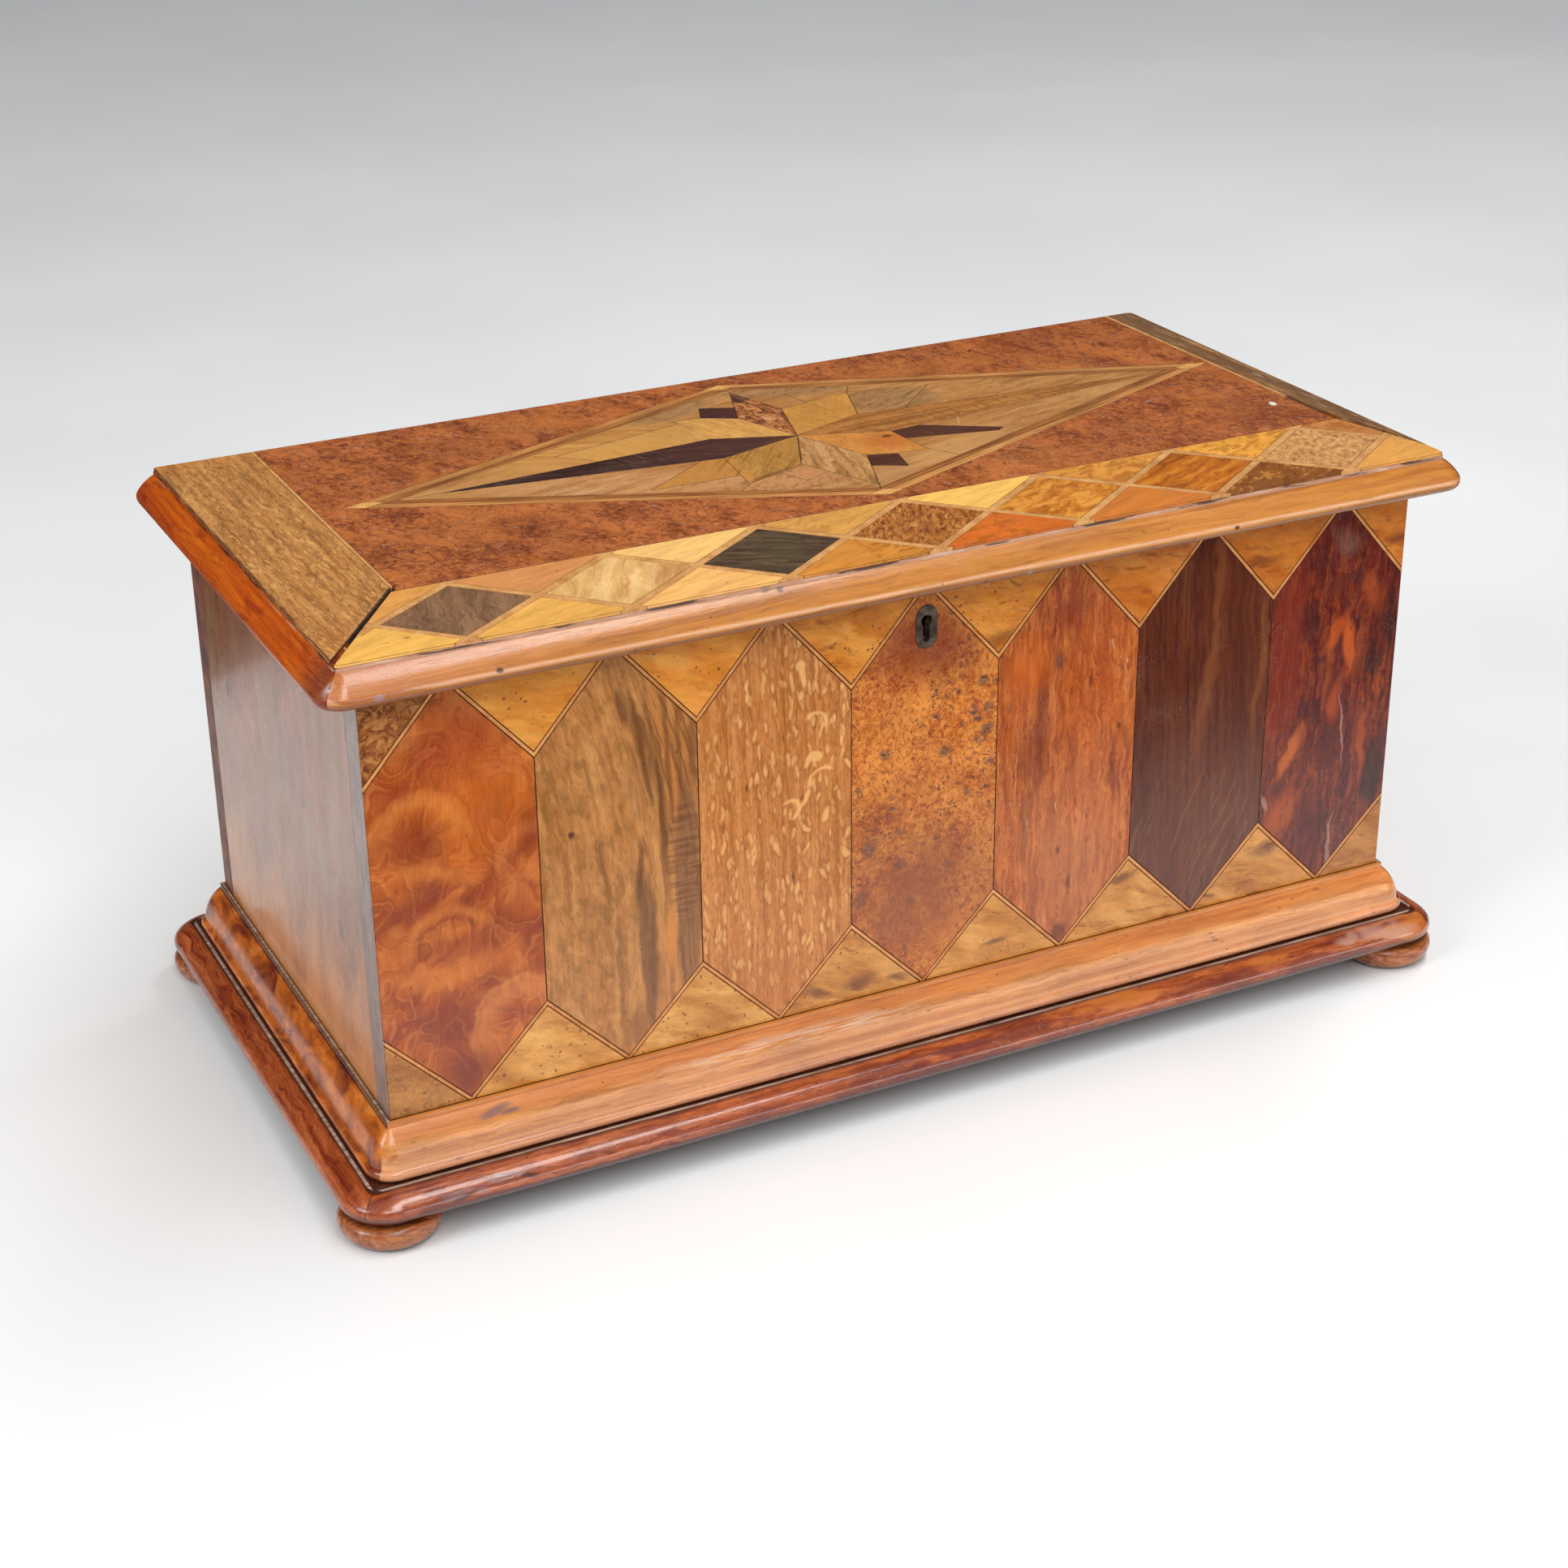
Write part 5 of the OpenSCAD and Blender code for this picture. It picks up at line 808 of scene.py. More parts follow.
def burl_fields():
    s, col = burr("burl_fields", "xy", (104, 52, 32), (154, 82, 46), (186, 108, 60), (74, 46, 40), LID, 0.7, 0.7, 1.6, 20)
    w = s.warp(3, 9, 2)
    # redder towards the right, soft purple-brown clouds, a few pale flecks
    tone = s.noise(s.along(20, 24, 40, w, (3, 8, 0)), 3, 0.55)
    col = s.shade(col, tone, 0.35, 0.65, 0.9, 1.08)
    col = s.over(col, (140, 66, 40), s.both(s.step(s.x, 20, 190), s.step(s.noise(s.along(0, 18, 26, w, (5, 5, 0)), 3, 0.6), 0.44, 0.6)), 0.5)
    clouds = s.any(s.blob((-112, -18), (14, 10), 0, 0.9, w), s.blob((-131, -34), (10, 8), 30, 0.9, w), s.blob((-108, 72), (11, 12), 20, 0.9, w),
                   s.blob((-136, 46), (6, 12), -20, 0.9, w), s.blob((176, -28), (15, 12), 30, 0.9, w), s.blob((-60, 62), (10, 9), 0, 0.9, w),
                   s.blob((-78, -22), (9, 7), 0, 0.9, w), s.blob((110, 44), (20, 9), -15, 0.9, w))
    col = s.over(col, (112, 58, 46), clouds, 0.4)
    small = s.noise(s.along(25, 1.5, 2.6, w, (7, 2, 0)), 3, 0.65, 0.5)
    col = s.over(col, (206, 122, 56), s.step(small, 0.52, 0.62), 0.45)
    col = s.over(col, (112, 56, 36), s.step(small, 0.46, 0.37), 0.45)
    orange = s.noise(s.along(10, 16, 30, w, (4, 9, 0)), 3, 0.6, 0.4)
    col = s.over(col, (200, 116, 52), s.step(orange, 0.5, 0.66), 0.4)
    glow = s.any(s.blob((-70, 80), (20, 8), 8, 0.9, w), s.blob((-86, 0), (16, 9), 0, 0.9, w), s.blob((86, 76), (24, 9), -10, 0.9, w), s.blob((-128, 0), (8, 16), 0, 0.9, w),
                 s.blob((74, -38), (22, 9), 8, 0.9, w), s.blob((140, 50), (14, 12), 0, 0.9, w))
    col = s.over(col, (204, 126, 62), glow, 0.35)
    pins = s.both(s.specks(2.3, 0.15, w, 1.4, 20, 0.1), s.step(s.noise(s.along(0, 16, 16, None, (1, 5, 0)), 2), 0.38, 0.54))
    col = s.over(col, (84, 46, 34), pins, 0.7)
    d = s.cells(s.along(25, 6.5, 9, w, (3, 1, 0)))
    rare = s.step(s.noise(s.along(0, 24, 24, None, (9, 9, 0)), 1), 0.48, 0.58)
    eye = s.both(s.step(d, 0.2, 0.1), rare)
    col = s.over(col, (70, 44, 42), eye, 0.75)
    col = s.over(col, (196, 168, 150), s.both(s.step(d, 0.08, 0.04), rare), 0.6)
    pit = s.both(s.specks(4.6, 0.13, w, 1.6, 10, 0.06), s.step(s.noise(s.along(0, 17, 17, None, (2, 8, 0)), 2), 0.46, 0.6))
    col = s.over(col, (176, 150, 138), pit, 0.55)
    col = s.over(col, (244, 236, 226), s.blob((187.4, -27), (1.3, 2.2), -20, 0.3), 0.95)
    col = s.vec("SCALE", s.age(col, 0.3, 0.3, 0.04), scale=0.9)
    return s.done(col, 0.12, 0.33, 0.2, 0.18)


def slanted(s, a, b, ang_up, ang_down):
    """A mask that is 1 on the two sides of the rhombus that rise to the right."""
    left = s.step(s.x, 12.6, 11.8)
    low = s.step(s.y, 28.5, 28.1)
    return s.math("ADD", s.both(left, s.math("SUBTRACT", 1.0, low)), s.both(s.math("SUBTRACT", 1.0, left), low), clamp=True)


def rhombus_lines(name, dark, mid, light, darker_left=False):
    s = Finish(name, "xy", LID)
    rising = slanted(s, 0, 0, 0, 0)
    g1 = s.grain(-69, 0.9, 34, 3, dist=0.3)
    g2 = s.grain(69, 0.9, 34, 3, dist=0.3)
    n = s.node("Mix")
    s.put(n.inputs[0], rising)
    s.put(n.inputs[2], g2)
    s.put(n.inputs[3], g1)
    g = n.outputs[0]
    col = s.ramp(g, [(0.36, dark), (0.5, mid), (0.64, light)])
    tone = s.noise(s.along(0, 26, 26, s.p), 2)
    col = s.shade(col, tone, 0.35, 0.65, 0.84, 1.14)
    s.relief = g
    col = s.age(col, 0.3, 0.15, 0.06)
    return s.done(col, 0.07, 0.36, 0.15, 0.2)


def star_dark():
    s = Finish("star_dark", "xy", LID)
    w = s.warp(0.8, 8, 2)
    col = s.timber(84, (44, 30, 26), (62, 42, 36), (88, 60, 50), (1.8, 40), (0.5, 9), (0.5, 6), w, 0.4, 1.0, 0.3)
    mid = s.blob((-22, 24), (26, 12), 0, 0.8)
    col = s.over(col, (86, 52, 46), mid, 0.6)
    col = s.over(col, (106, 68, 58), s.both(mid, s.step(s.grain(70, 1.4, 14, 2), 0.54, 0.66)), 0.6)
    col = s.over(col, (108, 60, 40), s.step(s.x, -6, 8), 0.4)
    col = s.over(col, (84, 50, 44), s.step(s.y, 50, 58), 0.6)
    col = s.age(col, 0.1, 0.2, 0.06)
    return s.done(col, 0.05, 0.33, 0.2, 0.18)


def star_arms():
    """Right arm brown oak with ripples, top arm mottled red-brown, bottom arm tan."""
    s = Finish("star_arms", "xy", LID)
    w = s.warp(0.8, 7, 2)
    base = s.timber(-86, (136, 84, 40), (168, 108, 52), (192, 134, 72), (2.6, 40), (0.5, 10), (0.5, 6), w, 0.4, 1.0, 0.4)
    rip = s.grain(8, 1.8, 9, 2, dist=0.5)
    right = s.over(base, (124, 76, 38), s.step(rip, 0.52, 0.66), 0.45)
    right = s.over(right, (112, 70, 38), s.step(s.x, 96, 160), 0.4)
    curl = s.noise(s.along(10, 2.2, 5.5, w, (4, 2, 0)), 4, 0.6, 0.8)
    top = s.ramp(curl, [(0.36, (84, 46, 34)), (0.47, (150, 88, 52)), (0.56, (184, 118, 66)), (0.68, (216, 156, 104))])
    top = s.over(top, (68, 40, 38), s.blob((12, 76), (3.2, 5.5), -8, 0.6, w), 0.85)
    top = s.over(top, (86, 44, 36), s.blob((17.5, 44), (1.4, 12), -10, 0.6, w), 0.75)
    bottom = s.timber(-14, (142, 100, 58), (184, 132, 78), (206, 158, 104), (2.2, 26), (0.5, 8), (0.5, 5), w, 0.4, 1.0, 0.5)
    is_right = s.step(s.math("SUBTRACT", s.math("MULTIPLY", s.math("SUBTRACT", s.x, 12.2), 0.55), s.math("ABSOLUTE", s.math("SUBTRACT", s.y, 25))), -0.6, 0.4)
    is_top = s.step(s.y, 24.9, 25.1)
    col = s.mix(is_top, bottom, top)
    col = s.mix(is_right, col, right)
    col = s.over(col, (58, 38, 28), s.both(s.step(s.math("ABSOLUTE", s.math("ADD", s.math("SUBTRACT", s.x, 12.2), s.math("MULTIPLY", s.math("SUBTRACT", s.y, 25), -0.45))), 1.0, 0.3), s.step(s.y, 25, 20), s.step(s.y, -4, 0)), 0.6)
    col = s.age(col, 0.3, 0.2, 0.06)
    return s.done(col, 0.07, 0.35, 0.15, 0.2)


def star_gold():
    s = Finish("star_gold", "xy", LID)
    w = s.warp(1.0, 8, 2)
    g = s.timber(-30, (186, 126, 58), (212, 154, 78), (230, 178, 100), (3, 34), (0.5, 9), (0.5, 5), w, 0.5, 1.0, 0.2)
    # each diagonal piece is cut from its own wood
    q = s.step(s.x, 11, 13)
    up = s.step(s.y, 24, 26)
    ul, ur = (226, 168, 92), (206, 142, 66)
    ll, lr = (180, 128, 60), (216, 138, 64)
    blend = s.mix(up, s.mix(q, tint(ll, LID), tint(lr, LID)), s.mix(q, tint(ul, LID), tint(ur, LID)))
    base = s.mix(0.72, g, blend)
    f = s.grain(20, 1.2, 16, 3, 0.6, 0.6, q=w)
    col = s.shade(base, f, 0.32, 0.68, 0.8, 1.2)
    col = s.over(col, (200, 104, 44), s.blob((39, 4), (9, 8), 0, 0.7, w), 0.6)
    col = s.over(col, (92, 48, 30), s.blob((41, 8.5), (2.2, 1.8), 0, 0.5, w), 0.8)
    # left of the diagonals: pale gold above, orange below
    far = s.step(s.x, -20.2, -22.4)
    col = s.over(col, (206, 150, 76), s.both(far, up), 0.55)
    col = s.over(col, (208, 140, 68), s.both(far, s.math("SUBTRACT", 1.0, up)), 0.6)
    col = s.over(col, (164, 122, 68), s.blob((-20, 54), (1.4, 8), 8, 0.5, w), 0.5)
    low = s.both(s.step(s.grain(-38, 1.6, 22, 3, 0.6, 0.4), 0.5, 0.64), s.blob((-10, 4), (20, 22), 0, 0.3))
    col = s.over(col, (134, 88, 38), low, 0.6)
    col = s.over(col, (96, 60, 30), s.blob((-18, -11.5), (12, 1.6), 24, 0.5, w), 0.6)
    col = s.vec("SCALE", s.age(col, 0.3, 0.15, 0.05), scale=0.86)
    return s.done(col, 0.06, 0.34, 0.18, 0.18)


def star_ground():
    s = Finish("star_ground", "xy", LID)
    w = s.warp(1.0, 9, 2)
    # the grain of each piece runs towards the star's middle
    base = s.timber(-78, (158, 104, 56), (190, 132, 74), (208, 156, 98), (3.2, 50), (0.5, 12), (0.5, 6), w, 0.3, 0.9, 0.4)
    gold = s.timber(66, (172, 112, 50), (202, 142, 72), (218, 164, 90), (2.6, 50), (0.5, 12), (0.5, 6), w, 0.3, 0.9, 0.25)
    col = s.mix(s.blob((-60, 46), (40, 16), 15, 0.4), base, gold)
    pink = s.timber(-76, (172, 116, 70), (202, 144, 90), (218, 166, 114), (3.0, 40), (0.5, 10), (0.5, 6), w, 0.3, 0.9, 0.35)
    col = s.mix(s.blob((-70, 6), (46, 14), -20, 0.3), col, pink)
    col = s.over(col, (204, 146, 82), s.blob((-76, 36), (46, 9), 14, 0.6), 0.5)
    grey = s.timber(-66, (134, 96, 60), (168, 124, 80), (186, 144, 98), (2.4, 30), (0.5, 8), (0.5, 5), w, 0.5, 1.0, 0.5)
    curl = s.noise(s.along(-30, 2.2, 5, w, (4, 2, 0)), 4, 0.65, 0.8)
    # greyer mottled pieces round the squares
    m1 = s.any(s.blob((-18, 74), (20, 9), 18, 0.3), s.blob((32, 76), (24, 8), -14, 0.3), s.blob((62, 48), (20, 13), -10, 0.18))
    col = s.mix(s.math("MULTIPLY", m1, 0.8), col, grey)
    col = s.over(col, (112, 78, 50), s.both(m1, s.step(curl, 0.54, 0.66)), 0.45)
    col = s.over(col, (176, 116, 62), s.blob((24, 66), (9, 8), 10, 0.3), 0.5)
    m2 = s.blob((-14, -19), (26, 14), -22, 0.3)
    col = s.over(col, (206, 152, 108), s.both(m2, s.step(curl, 0.46, 0.56)), 0.5)
    col = s.over(col, (142, 94, 64), s.both(m2, s.step(curl, 0.46, 0.38)), 0.55)
    col = s.over(col, (206, 134, 90), s.blob((-3, -14), (7, 8), -24, 0.3), 0.4)
    col = s.over(col, (210, 158, 100), s.blob((62, -12), (26, 8), 22, 0.35), 0.5)
    col = s.over(col, (192, 142, 94), s.blob((22, -30), (12, 9), 0, 0.4), 0.5)
    col = s.over(col, (226, 190, 150), s.blob((74, 14), (0.5, 5), -24, 0.5), 0.35)
    col = s.over(col, (112, 80, 52), s.blob((72, 49), (7, 1.2), 40, 0.5, w), 0.5)
    col = s.vec("SCALE", s.age(col, 0.3, 0.2, 0.05), scale=0.88)
    return s.done(col, 0.08, 0.35, 0.15, 0.2)


def lozenge_wood(name, ang, dark, mid, light, fig=(3, 40), extra=None, pores=0.35, rough=0.34):
    s = Finish(name, "xy", LID)
    w = s.warp(1.0, 8, 2)
    col = s.timber(ang, dark, mid, light, fig, (0.5, 9), (0.5, 5), w, 0.5, 1.1, pores)
    if extra:
        col = extra(s, col, w)
    col = s.age(col, 0.3, 0.15, 0.06)
    return s.done(col, 0.06, rough, 0.2, 0.16)


def walnut_extra(s, col, w):
    f = s.step(s.grain(-14, 1.3, 24, 2, q=w), 0.55, 0.66)
    return s.over(col, (88, 64, 48), f, 0.5)


def birdseye_extra(s, col, w):
    right = s.step(s.x, 0, 20)
    d = s.cells(s.along(0, 3.4, 3.4, w, (2, 3, 0)))
    col = s.over(col, (182, 134, 78), s.step(d, 0.16, 0.08), 0.5)
    col = s.over(col, (176, 112, 68), s.blob((-88, -82), (6, 9), -25, 0.7, w), 0.5)
    tan = s.ramp(s.noise(s.along(-30, 1.8, 4, w, (6, 1, 0)), 4, 0.65, 0.4), [(0.36, (160, 108, 62)), (0.5, (202, 146, 88)), (0.64, (222, 170, 110))])
    return s.mix(right, col, tan)


def bog_extra(s, col, w):
    col = s.over(col, (92, 84, 56), s.blob((-44, -78), (13, 8), 50, 0.9, w), 0.4)
    return s.over(col, (84, 52, 46), s.blob((-33, -84), (6, 8), 0, 0.8, w), 0.5)


def palm_extra(s, col, w):
    d = s.cells(s.along(-30, 1.3, 2.6, w, (2, 3, 0)))
    col = s.over(col, (72, 40, 20), s.step(d, 0.3, 0.16), 0.6)
    return s.over(col, (212, 150, 86), s.step(s.noise(s.along(-30, 1.0, 3.2, w, (1, 1, 0)), 3, 0.6), 0.56, 0.68), 0.5)


def flame_extra(s, col, w):
    left = s.step(s.x, 92, 86)
    n = s.noise(s.along(-60, 3.4, 9, w, (2, 8, 0)), 3, 0.6, 0.6)
    mott = s.ramp(n, [(0.36, (164, 94, 28)), (0.48, (204, 130, 44)), (0.6, (230, 162, 70))])
    col = s.mix(s.math("MULTIPLY", left, 0.75), col, mott)
    col = s.over(col, (148, 80, 26), s.both(s.step(n, 0.54, 0.66), s.step(s.x, 90, 96)), 0.5)
    flame = s.arc((121, -66), (9, 13), 4, 10, 0.0, w)
    col = s.over(col, (122, 60, 24), s.both(flame, s.step(s.x, 90, 94)), 0.5)
    return s.over(col, (112, 54, 26), s.blob((121, -60), (5, 4), 0, 0.7, w), 0.5)


def band_triangles():
    s = Finish("band_triangles", "xy", LID)
    w = s.warp(1.0, 9, 2)
    up = s.step(s.y, -78.4, -77.6)
    # upper pieces lie between the lozenges' back tips, lower ones between their front tips
    step_up = s.span(s.x, -154.5 - 55.3, -154.5 + 7 * 55.3, 0, 1)
    step_low = s.span(s.x, -164.5 - 55.3, -164.5 + 7 * 55.3, 0, 1)
    one = 1 / 8
    ups = [(214, 150, 76), (208, 140, 82), (238, 190, 114), (210, 152, 76), (240, 188, 96), (216, 146, 64), (232, 162, 64), (190, 124, 66)]
    lows = [(232, 176, 86), (226, 168, 84), (236, 178, 104), (206, 134, 54), (206, 106, 36), (204, 120, 50), (132, 80, 36), (222, 158, 78)]
    a = s.ramp(step_up, [(i * one, c) for i, c in enumerate(ups)], True)
    b = s.ramp(step_low, [(i * one, c) for i, c in enumerate(lows)], True)
    col = s.mix(up, b, a)
    f = s.grain(-70, 3.2, 26, 3, 0.5, 0.4, q=w)
    g = s.grain(-70, 0.5, 9, 2, q=w)
    v = s.math("ADD", s.math("MULTIPLY", f, 0.6), s.math("MULTIPLY", g, 0.4))
    col = s.shade(col, v, 0.34, 0.66, 0.8, 1.18)
    mott = s.noise(s.along(-64, 3.4, 8, w, (6, 3, 0)), 4, 0.6, 0.8)
    dark_ones = s.any(s.both(s.step(s.x, -22, -20), s.step(s.x, 38, 34), s.math("SUBTRACT", 1.0, up)), s.both(s.step(s.x, 62, 70), up), s.both(s.step(s.x, 108, 112), s.step(s.x, 172, 168)))
    col = s.over(col, (156, 88, 28), s.both(dark_ones, s.step(mott, 0.47, 0.58)), 0.6)
    col = s.over(col, (88, 50, 24), s.both(s.step(s.x, 112, 116), s.step(s.x, 166, 162), s.math("SUBTRACT", 1.0, up), s.step(mott, 0.5, 0.62)), 0.6)
    col = s.over(col, (206, 138, 62), s.both(s.step(s.x, 112, 116), s.step(s.x, 166, 162), s.math("SUBTRACT", 1.0, up), s.step(mott, 0.46, 0.38)), 0.6)
    col = s.over(col, (176, 112, 52), s.both(s.step(s.x, -44, -40), s.step(s.x, 8, 4), up, s.step(mott, 0.5, 0.6)), 0.5)
    col = s.over(col, (96, 62, 34), s.any(s.blob((-181, -92), (1.2, 0.9), 0, 0.4), s.blob((-112, -104), (5, 0.8), 0, 0.5, w), s.blob((-150, -84), (1.2, 4), -10, 0.5)), 0.5)
    s.relief = v
    # brown dirt along the front edge, where the polish has worn
    front = s.both(s.step(s.y, -104.4, -106.4), s.step(s.grain(90, 1.2, 9, 3, 0.6), 0.5, 0.62))
    col = s.over(col, (70, 44, 32), front, 0.7)
    col = s.age(col, 0.35, 0.15, 0.05)
    return s.done(col, 0.06, 0.33, 0.2, 0.16)


# ---------------------------------------------------------------- metals
def metal(name, dark, light, tarnish, amount=0.5, rough=0.35, metallic=1.0):
    s = Finish(name, "xz", 0.0)
    n = s.noise(s.along(0, 3.5, 3.5, s.p), 4, 0.65)
    fine = s.noise(s.along(0, 0.35, 0.35, s.p, (1, 1, 1)), 2)
    col = s.ramp(n, [(0.36, dark), (0.62, light)])
    col = s.over(col, tarnish, s.step(s.noise(s.along(0, 6, 6, s.p, (3, 7, 2)), 4, 0.7), 0.46, 0.62), amount)
    s.relief = s.math("ADD", fine, n)
    return s.done(col, 0.03, rough, 0.0, 0.1, 0.1, metallic)


def joint_dirt(name, a, b):
    """Old glue and wax in the joints between the veneers."""
    s = Finish(name, "xz", 0.0)
    n = s.noise(s.along(0, 3, 3, s.p), 3, 0.6)
    s.relief = n
    return s.done(s.ramp(n, [(0.36, a), (0.62, b)]), 0.02, 0.6, 0.0, 0.1, 0.05, 0.0, 0.2)


front_joint = joint_dirt("front_joints", (40, 25, 17), (92, 58, 36))
lid_joint = joint_dirt("lid_joints", (44, 28, 20), (112, 72, 42))


def paint(names, mat, width=0.0, angle=32, joint=None):
    for name in names.split():
        o = nodes[name]
        if len(o.data.materials) == 0:
            o.data.materials.append(mat)
        for i in range(len(o.data.materials)):
            o.data.materials[i] = mat
        if joint:
            o.data.materials.append(joint)
        if width:
            o.modifiers.new("joined_corners", "WELD").merge_threshold = 2e-6
            b = o.modifiers.new("soft_edges", "BEVEL")
            b.width = width * 0.001
            b.segments = 1
            b.limit_method = "ANGLE"
            b.angle_limit = math.radians(angle)
            b.harden_normals = False
            b.use_clamp_overlap = False
            if joint:
                b.material = len(o.data.materials) - 1
            o.modifiers.new("crisp", "EDGE_SPLIT").split_angle = math.radians(25)


paint("hexagon_mahogany", crotch_mahogany(), 0.14, joint=front_joint)
paint("hexagon_walnut", figured_walnut(), 0.14, joint=front_joint)
paint("hexagon_oak", quartered_oak(), 0.14, joint=front_joint)
paint("hexagon_burr", front_burr(), 0.14, joint=front_joint)
paint("hexagon_padauk", padauk(), 0.14, joint=front_joint)
paint("hexagon_rosewood", rosewood(), 0.14, joint=front_joint)
paint("hexagon_kingwood", kingwood(), 0.14, joint=front_joint)
paint("front_triangles", satinwood_triangles(), 0.14, joint=front_joint)
paint("front_stringing", boxwood("front_stringing_wood", "xz", (190, 118, 64), (224, 156, 96)), 0.14, joint=front_joint)
paint("left_end_board right_end_board", side_mahogany("side_mahogany"), 0.25)
paint("back_board", inner_wood("back_mahogany", "xz", 90, (62, 30, 20), (96, 48, 28), (128, 70, 42)), 0.3)
paint("front_board", front_pine())
paint("bottom_board", inner_wood("bottom_wood", "xy", 90))
paint("lid_board", inner_wood("lid_board_wood", "xy", 90, (88, 48, 28), (126, 74, 44), (154, 98, 62), True))
for side in ("front", "back"):
    paint("ogee_moulding_" + side, ogee_wood("ogee_wood_" + side, True))
    paint("plinth_" + side, plinth_wood("plinth_wood_" + side, True))
    paint("lid_moulding_" + side, lid_moulding("lid_moulding_wood_" + side, True, (146, 88, 46), (178, 115, 59), (196, 132, 70)))
for side in ("left", "right"):
    paint("ogee_moulding_" + side, ogee_wood("ogee_wood_" + side, False))
    paint("plinth_" + side, plinth_wood("plinth_wood_" + side, False))
    paint("lid_moulding_" + side, lid_moulding("lid_moulding_wood_" + side, False, (140, 60, 22), (176, 84, 28), (202, 108, 42), True))
paint("bun_foot_front_left bun_foot_front_right bun_foot_back_left bun_foot_back_right", foot_wood())
paint("lid_oak_band_left", lid_oak("lid_oak_left"), 0.14, joint=lid_joint)
paint("lid_oak_band_right", lid_oak("lid_oak_right", 0.75), 0.14, joint=lid_joint)
paint("lid_burr_fields", burl_fields(), 0.12, joint=lid_joint)
paint("rhombus_outer_lines", rhombus_lines("rhombus_tan", (158, 100, 52), (186, 126, 68), (206, 150, 90)), 0.11, joint=lid_joint)
paint("rhombus_inner_lines", rhombus_lines("rhombus_brown", (122, 70, 34), (150, 92, 46), (174, 116, 62)), 0.11, joint=lid_joint)
paint("rhombus_corner_blocks", boxwood("corner_gold", "xy", (196, 136, 68), (232, 178, 106), LID, 0.34), 0.11, joint=lid_joint)
paint("star_dark_pieces", star_dark(), 0.11, joint=lid_joint)
paint("star_brown_arms", star_arms(), 0.11, joint=lid_joint)
paint("star_golden_pieces", star_gold(), 0.11, joint=lid_joint)
paint("star_ground", star_ground(), 0.11, joint=lid_joint)
paint("lozenge_walnut", lozenge_wood("lozenge_grey_walnut", -14, (108, 78, 56), (134, 98, 70), (154, 116, 84), (5.0, 60), walnut_extra), 0.11, joint=lid_joint)
paint("lozenges_birdseye", lozenge_wood("lozenge_birdseye", -24, (196, 146, 84), (220, 174, 108), (236, 196, 134), (4, 30), birdseye_extra, 0.12), 0.11, joint=lid_joint)
paint("lozenge_bog_oak", lozenge_wood("lozenge_bog", 62, (54, 42, 32), (86, 68, 50), (114, 90, 66), (1.8, 26), bog_extra), 0.11, joint=lid_joint)
paint("lozenge_palm", lozenge_wood("lozenge_palm_wood", -30, (112, 60, 24), (164, 98, 44), (204, 134, 66), (1.6, 6), palm_extra), 0.11, joint=lid_joint)
paint("lozenges_flame", lozenge_wood("lozenge_flame", -60, (148, 76, 16), (186, 104, 26), (210, 134, 46), (3.6, 26), flame_extra, 0.2), 0.11, joint=lid_joint)
paint("lozenge_triangles", band_triangles(), 0.11, joint=lid_joint)
paint("lid_stringing", boxwood("lid_stringing_wood", "xy", (184, 126, 70), (220, 166, 104), LID, 0.36))
paint("escutcheon", metal("old_brass", (70, 58, 50), (118, 102, 88), (34, 28, 26), 0.5, 0.42, 0.6))
paint("lock_plate link_plate hinge_carcase_leaves hinge_lid_leaves carcase_screws lid_screws",
      metal("brass", (168, 126, 62), (206, 166, 92), (104, 76, 42), 0.5, 0.3))
paint("lock_case lock_bolt lock_spring hinge_pins", metal("iron", (84, 82, 80), (134, 132, 128), (70, 52, 42), 0.5, 0.38))

# ---------------------------------------------------------------- floor, light, camera
def grid_plane(name, half, z=0.0):
    mesh = bpy.data.meshes.new(name)
    mesh.from_pydata([(-half, -half, z), (half, -half, z), (half, half, z), (-half, half, z)], [], [(0, 1, 2, 3)])
    o = bpy.data.objects.new(name, mesh)
    bpy.context.scene.collection.objects.link(o)
    return o


floor = grid_plane("floor", 14)
fm = Finish("floor_paper", "xy", 0.0)
n = fm.noise(fm.along(0, 240, 240, fm.p), 2)
fm.relief = fm.noise(fm.along(0, 1.2, 1.2, fm.p, (2, 2, 2)), 2)
floor_col = fm.ramp(n, [(0.35, (232, 234, 236)), (0.65, (237, 239, 240))])
floor.data.materials.append(fm.done(floor_col, 0.01, 0.6, 0.0, 0.1, 0.03, 0.0, 0.2))

# a dark cloth behind the box and a dark table edge in front of it, seen only in the polish, as in the photograph
def shown_in_polish(name, corners, strength):
    mesh = bpy.data.meshes.new(name)
    mesh.from_pydata(corners, [], [(0, 1, 2, 3)])
    o = bpy.data.objects.new(name, mesh)
    bpy.context.scene.collection.objects.link(o)
    s = Finish(name, "xy", 0.0)
    s.relief = s.noise(s.along(0, 1.0, 1.0, s.p, (2, 2, 2)), 2)
    s.done(s.ramp(s.noise(s.along(0, 90, 90, s.p), 2), [(0.3, (40, 40, 44)), (0.7, (50, 50, 56))]), 0.01, 0.9, 0.0, 0.1, 0.02, 0.0, 0.1)
    if strength:
        clear = s.node("BsdfTransparent")
        both = s.node("MixShader")
        s.put(both.inputs[0], strength(s))
        s.tree.links.new(clear.outputs[0], both.inputs[1])
        s.tree.links.new(s.bsdf.outputs[0], both.inputs[2])
        s.tree.links.new(both.outputs[0], s.out.inputs[0])
    mesh.materials.append(s.mat)
    o.visible_camera = o.visible_diffuse = o.visible_shadow = o.visible_transmission = False


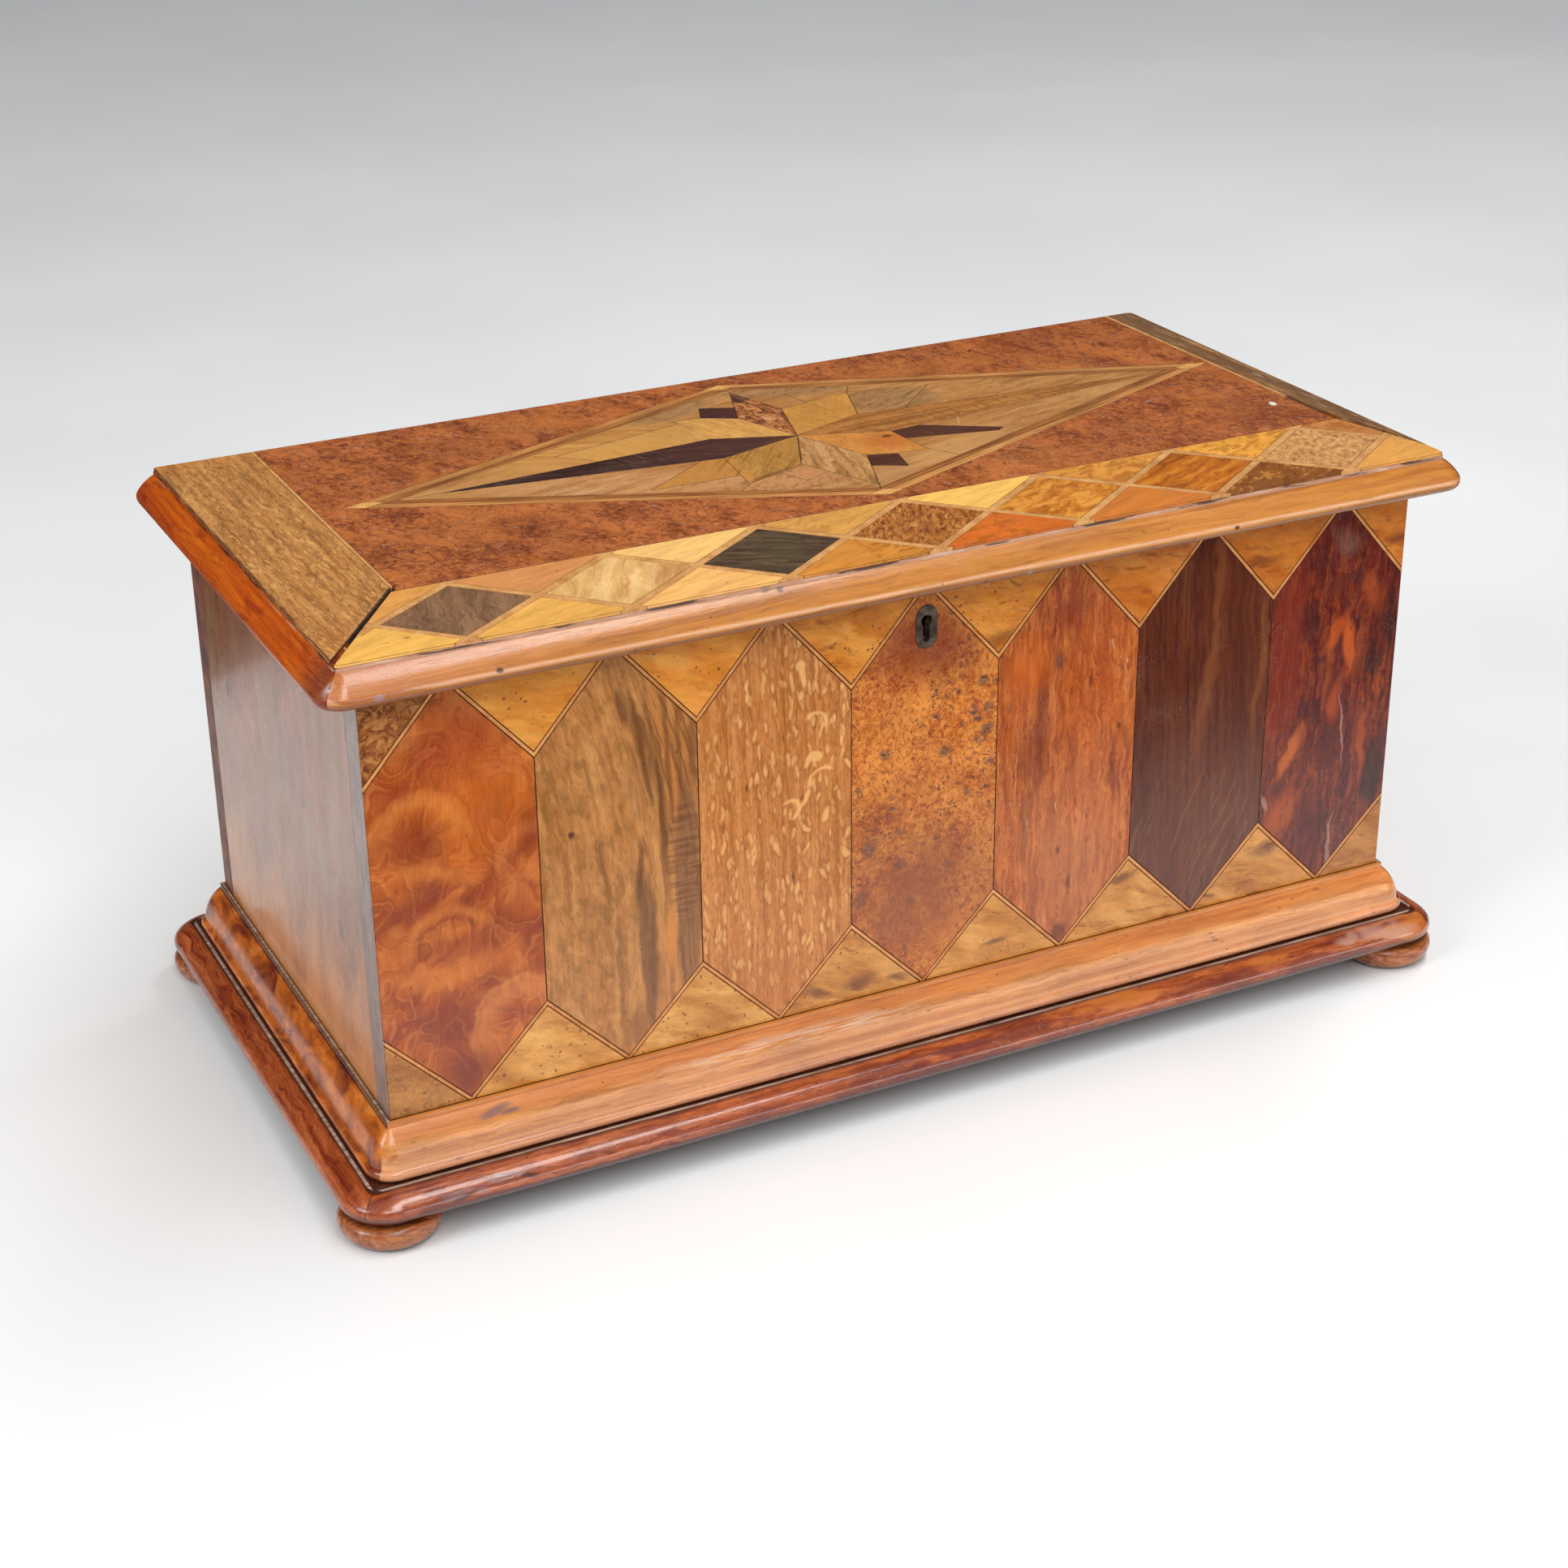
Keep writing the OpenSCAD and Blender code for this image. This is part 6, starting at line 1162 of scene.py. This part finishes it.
shown_in_polish("dark_card", [(-1.999, 1.298, 0), (1.533, -0.582, 0), (1.533, -0.582, 1.5), (-1.999, 1.298, 1.5)], None)
shown_in_polish("dark_flag", [(-3, -3, 0.003), (3, -3, 0.003), (3, -0.17, 0.003), (-3, -0.17, 0.003)], lambda s: s.step(s.y, -200, -340))


def softbox(name, at, aim, size, watts, colour=(1, 1, 1)):
    light = bpy.data.lights.new(name, "AREA")
    light.shape = "RECTANGLE"
    light.size, light.size_y = size
    light.energy = watts
    light.color = colour
    o = bpy.data.objects.new(name, light)
    bpy.context.scene.collection.objects.link(o)
    o.location = at
    o.rotation_euler = (Vector(aim) - Vector(at)).to_track_quat("-Z", "Y").to_euler()
    return o


softbox("overhead", (0.4, -0.27, 1.7), (0.05, 0.0, 0.1), (2.6, 0.34), 22, (1.0, 0.985, 0.965))
softbox("key_front", (-0.5, -1.7, 1.6), (0.0, 0.0, 0.1), (1.2, 0.8), 15, (1.0, 0.985, 0.96))
softbox("key_left", (-1.8, -0.3, 1.2), (0.0, 0.0, 0.1), (0.9, 0.9), 18, (1.0, 0.985, 0.965))
softbox("front_panel", (0.9, -2.0, 0.5), (0.0, 0.0, 0.2), (1.8, 0.7), 10, (0.99, 0.99, 1.0))

world = bpy.data.worlds.new("studio")
bpy.context.scene.world = world
world.use_nodes = True
wt = world.node_tree
wt.nodes.clear()
wo = wt.nodes.new("ShaderNodeOutputWorld")
wb = wt.nodes.new("ShaderNodeBackground")
wc = wt.nodes.new("ShaderNodeTexCoord")
ws = wt.nodes.new("ShaderNodeSeparateXYZ")
wr = wt.nodes.new("ShaderNodeValToRGB")
wm = wt.nodes.new("ShaderNodeMapRange")
wt.links.new(wc.outputs["Generated"], ws.inputs[0])
wt.links.new(ws.outputs[2], wm.inputs["Value"])
wm.inputs["From Min"].default_value = -0.1
wm.inputs["From Max"].default_value = 1.0
wt.links.new(wm.outputs[0], wr.inputs[0])
wr.color_ramp.elements[0].position = 0.0
wr.color_ramp.elements[0].color = (0.30, 0.305, 0.315, 1)
wr.color_ramp.elements[1].position = 1.0
wr.color_ramp.elements[1].color = (0.35, 0.35, 0.35, 1)
wt.links.new(wr.outputs[0], wb.inputs[0])
wb.inputs[1].default_value = 1.0
wt.links.new(wb.outputs[0], wo.inputs[0])

scene = bpy.context.scene
scene.view_settings.view_transform = "Standard"
scene.view_settings.look = "None"
scene.view_settings.exposure = 0.0
scene.view_settings.gamma = 1.0

cam = bpy.data.objects.new("camera", bpy.data.cameras.new("camera"))
scene.collection.objects.link(cam)
right = Vector((0.89439992, -0.44713255, -0.01101178))
up = Vector((0.20151614, 0.38086908, 0.90240234))
look = Vector((0.39929941, 0.80932764, -0.43075371))
cam.matrix_world = Matrix.Translation(Vector((-0.42928, -0.85531, 0.53330))) @ Matrix((right, up, -look)).transposed().to_4x4()
cam.data.sensor_width = 36
cam.data.lens = 64.2315
cam.data.clip_start = 0.05
scene.camera = cam

bpy.context.view_layer.update()
